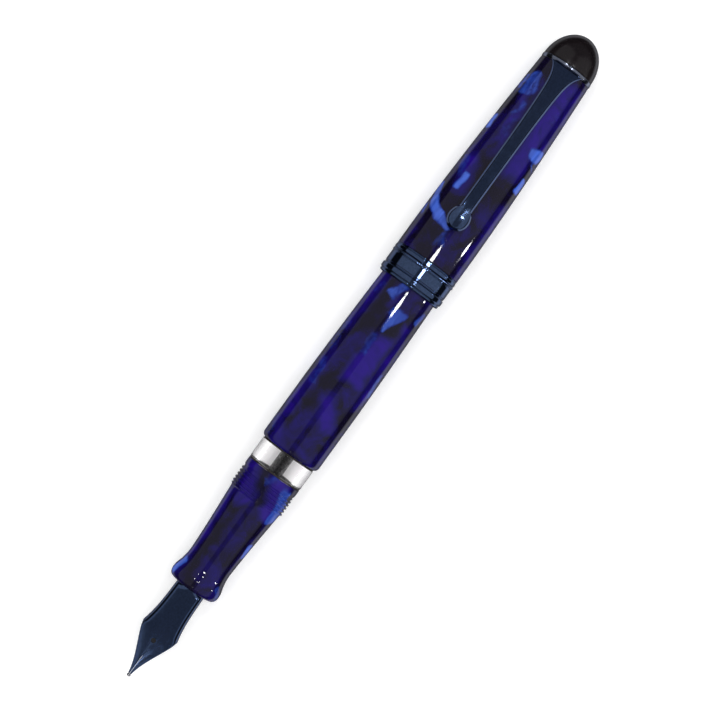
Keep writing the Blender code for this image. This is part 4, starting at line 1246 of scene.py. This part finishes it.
class PEN_OT_stage(Operator):
    """Make the pale floor with its raised rim, the soft lights and the camera"""
    bl_idname = "pen.stage"
    bl_label = "Stage"

    def execute(self, context):
        self.floor(context)
        self.sky(context)
        pen = (0.0, 0.0, AXIS_Z)
        panel, away = (1.7, 1.15), 0.74
        for name, lean in (("soft_left", 45.5), ("soft_right", -51.5)):
            turn = math.radians(lean)
            place = (0.0, away * math.sin(turn), AXIS_Z + away * math.cos(turn))
            area_light(name, place, pen, panel, 0.24)
        overhead = area_light("overhead_fill", (0.0, 0.0, 1.1), pen, (1.2, 1.2), 1.9)
        overhead.visible_glossy = overhead.visible_transmission = False
        band, tip = (0.1035, 0.0, AXIS_Z), (-0.077, 0.0, AXIS_Z)
        area_light("strip_lamp", (0.0545, -0.070, 0.532), pen, (0.015, 0.095), 30.0, "ELLIPSE")
        area_light("low_lamp", (0.1035, -0.894, 0.107), band, (0.022, 0.118), 42.0, "ELLIPSE")
        area_light("tip_lamp", (-0.373, -0.020, 0.507), tip, (0.025, 0.06), 5.0)
        for y in (0.105, -0.125):
            area_light("spot_lamp", (0.138, y, 0.532), pen, (0.014, 0.014), 160.0)
        self.camera(context)
        return {"FINISHED"}

    def floor(self, context):
        """The floor carried round as one sheet: flat, then a quarter round up into a low wall."""
        flat, bend, wall = 1250.0, 200.0, 700.0
        corner = np.radians(np.linspace(0, 90, 16))
        reach = np.concatenate([[0.0, 60.0, 300.0], flat + bend * np.sin(corner), [flat + bend]])
        rise = np.concatenate([[0.0, 0.0, 0.0], bend * (1 - np.cos(corner)), [wall]])
        around = 96
        turn = np.linspace(0, 2 * np.pi, around, endpoint=False)
        points = np.stack([reach[:, None] * np.sin(turn), reach[:, None] * np.cos(turn),
                           np.repeat(rise[:, None], around, 1)], -1)
        points = points - np.array([TIP_X, 0.0, AXIS_Z]) / MM
        rows = len(reach)
        index = np.arange(rows * around).reshape(rows, around)
        index[0] = 0
        ahead = np.roll(index, -1, 1)
        faces = [np.stack([index[1:-1], index[2:], ahead[2:], ahead[1:-1]], -1).reshape(-1, 4),
                 np.stack([index[0], index[1], ahead[1]], -1)]
        floor = mesh_object("table_floor", points, faces)
        material, tree, shader = new_material("pale_table")
        speckle = ranged(tree, noise(tree, 40, 4.0), 0.2, 0.8)
        tint = tuple(context.scene.pen_colours.floor)
        shade = mixed(tree, speckle, tint, tuple(value * 0.985 for value in tint))
        fill(tree, shader, {"Base Color": shade, "Roughness": 0.9, "Specular IOR Level": 0.1,
                            "Emission Color": (1.0, 1.0, 1.0, 1.0), "Emission Strength": 0.3})
        floor.data.materials.append(material)
        floor.visible_glossy = False

    def sky(self, context):
        """What polish and plating mirror beyond the panels: a dim studio.

        Its light changes with height, dark at table level and pale below, and is weaker towards +Y.
        """
        world = bpy.data.worlds.new("dim_studio")
        world.use_nodes = True
        tree = world.node_tree
        direction = add_node(tree, "ShaderNodeTexCoord").outputs["Generated"]
        split = add_node(tree, "ShaderNodeSeparateXYZ", {0: direction}).outputs
        height = ranged(tree, split["Z"], -1.0, 1.0, ease="LINEAR")
        node = add_node(tree, "ShaderNodeValToRGB", {0: height})
        first, last = node.color_ramp.elements
        first.position, last.position = SKY_STOPS[0][0], SKY_STOPS[-1][0]
        for place, _ in SKY_STOPS[1:-1]:
            node.color_ramp.elements.new(place)
        for element, (_, level) in zip(node.color_ramp.elements, SKY_STOPS):
            element.color = (level * 0.97, level * 0.97, level * 1.06, 1.0)
        level = ranged(tree, split["Y"], -0.9, 0.9, 1.0, 0.6, "LINEAR")
        fill(tree, tree.nodes["Background"], {"Color": node.outputs["Color"], "Strength": level})
        context.scene.world = world

    def camera(self, context):
        """Straight above the pen, turned so that the pen climbs to the right."""
        data = bpy.data.cameras.new("camera")
        data.sensor_width = 36.0
        data.angle = math.radians(19.56)
        camera = bpy.data.objects.new("camera", data)
        camera.location = (-0.0002, -0.00058, AXIS_Z + 0.420)
        camera.rotation_euler = (0.0, 0.0, math.radians(-54.1))
        context.scene.collection.objects.link(camera)
        context.scene.camera = camera
        context.scene.view_settings.view_transform = "Standard"


PIECES = (PEN_OT_nib, PEN_OT_feed, PEN_OT_section, PEN_OT_window, PEN_OT_barrel, PEN_OT_piston,
          PEN_OT_drive, PEN_OT_cap, PEN_OT_band, PEN_OT_cap_top, PEN_OT_clip, PEN_OT_stage)


class PEN_PT_sidebar(Panel):
    """The pen's sizes, colours and pieces"""
    bl_idname = "PEN_PT_sidebar"
    bl_label = "Posted fountain pen"
    bl_space_type = "VIEW_3D"
    bl_region_type = "UI"
    bl_category = "Pen"

    def draw(self, context):
        for group in (context.scene.pen_sizes, context.scene.pen_colours):
            column = self.layout.column(align=True)
            for name in group.__annotations__:
                column.prop(group, name)
        for piece in PIECES:
            self.layout.operator(piece.bl_idname)


CLASSES = (PenSizes, PenColours, *PIECES, PEN_PT_sidebar)


def register():
    """Adds the classes and the scene's two groups of settings."""
    for cls in CLASSES:
        bpy.utils.register_class(cls)
    bpy.types.Scene.pen_sizes = PointerProperty(type=PenSizes)
    bpy.types.Scene.pen_colours = PointerProperty(type=PenColours)


def unregister():
    """Takes them away again."""
    del bpy.types.Scene.pen_colours
    del bpy.types.Scene.pen_sizes
    for cls in reversed(CLASSES):
        bpy.utils.unregister_class(cls)


def main():
    """Makes every piece and the stage."""
    register()
    for piece in PIECES:
        getattr(bpy.ops.pen, piece.bl_idname.split(".")[1])()


if __name__ == "__main__":
    main()
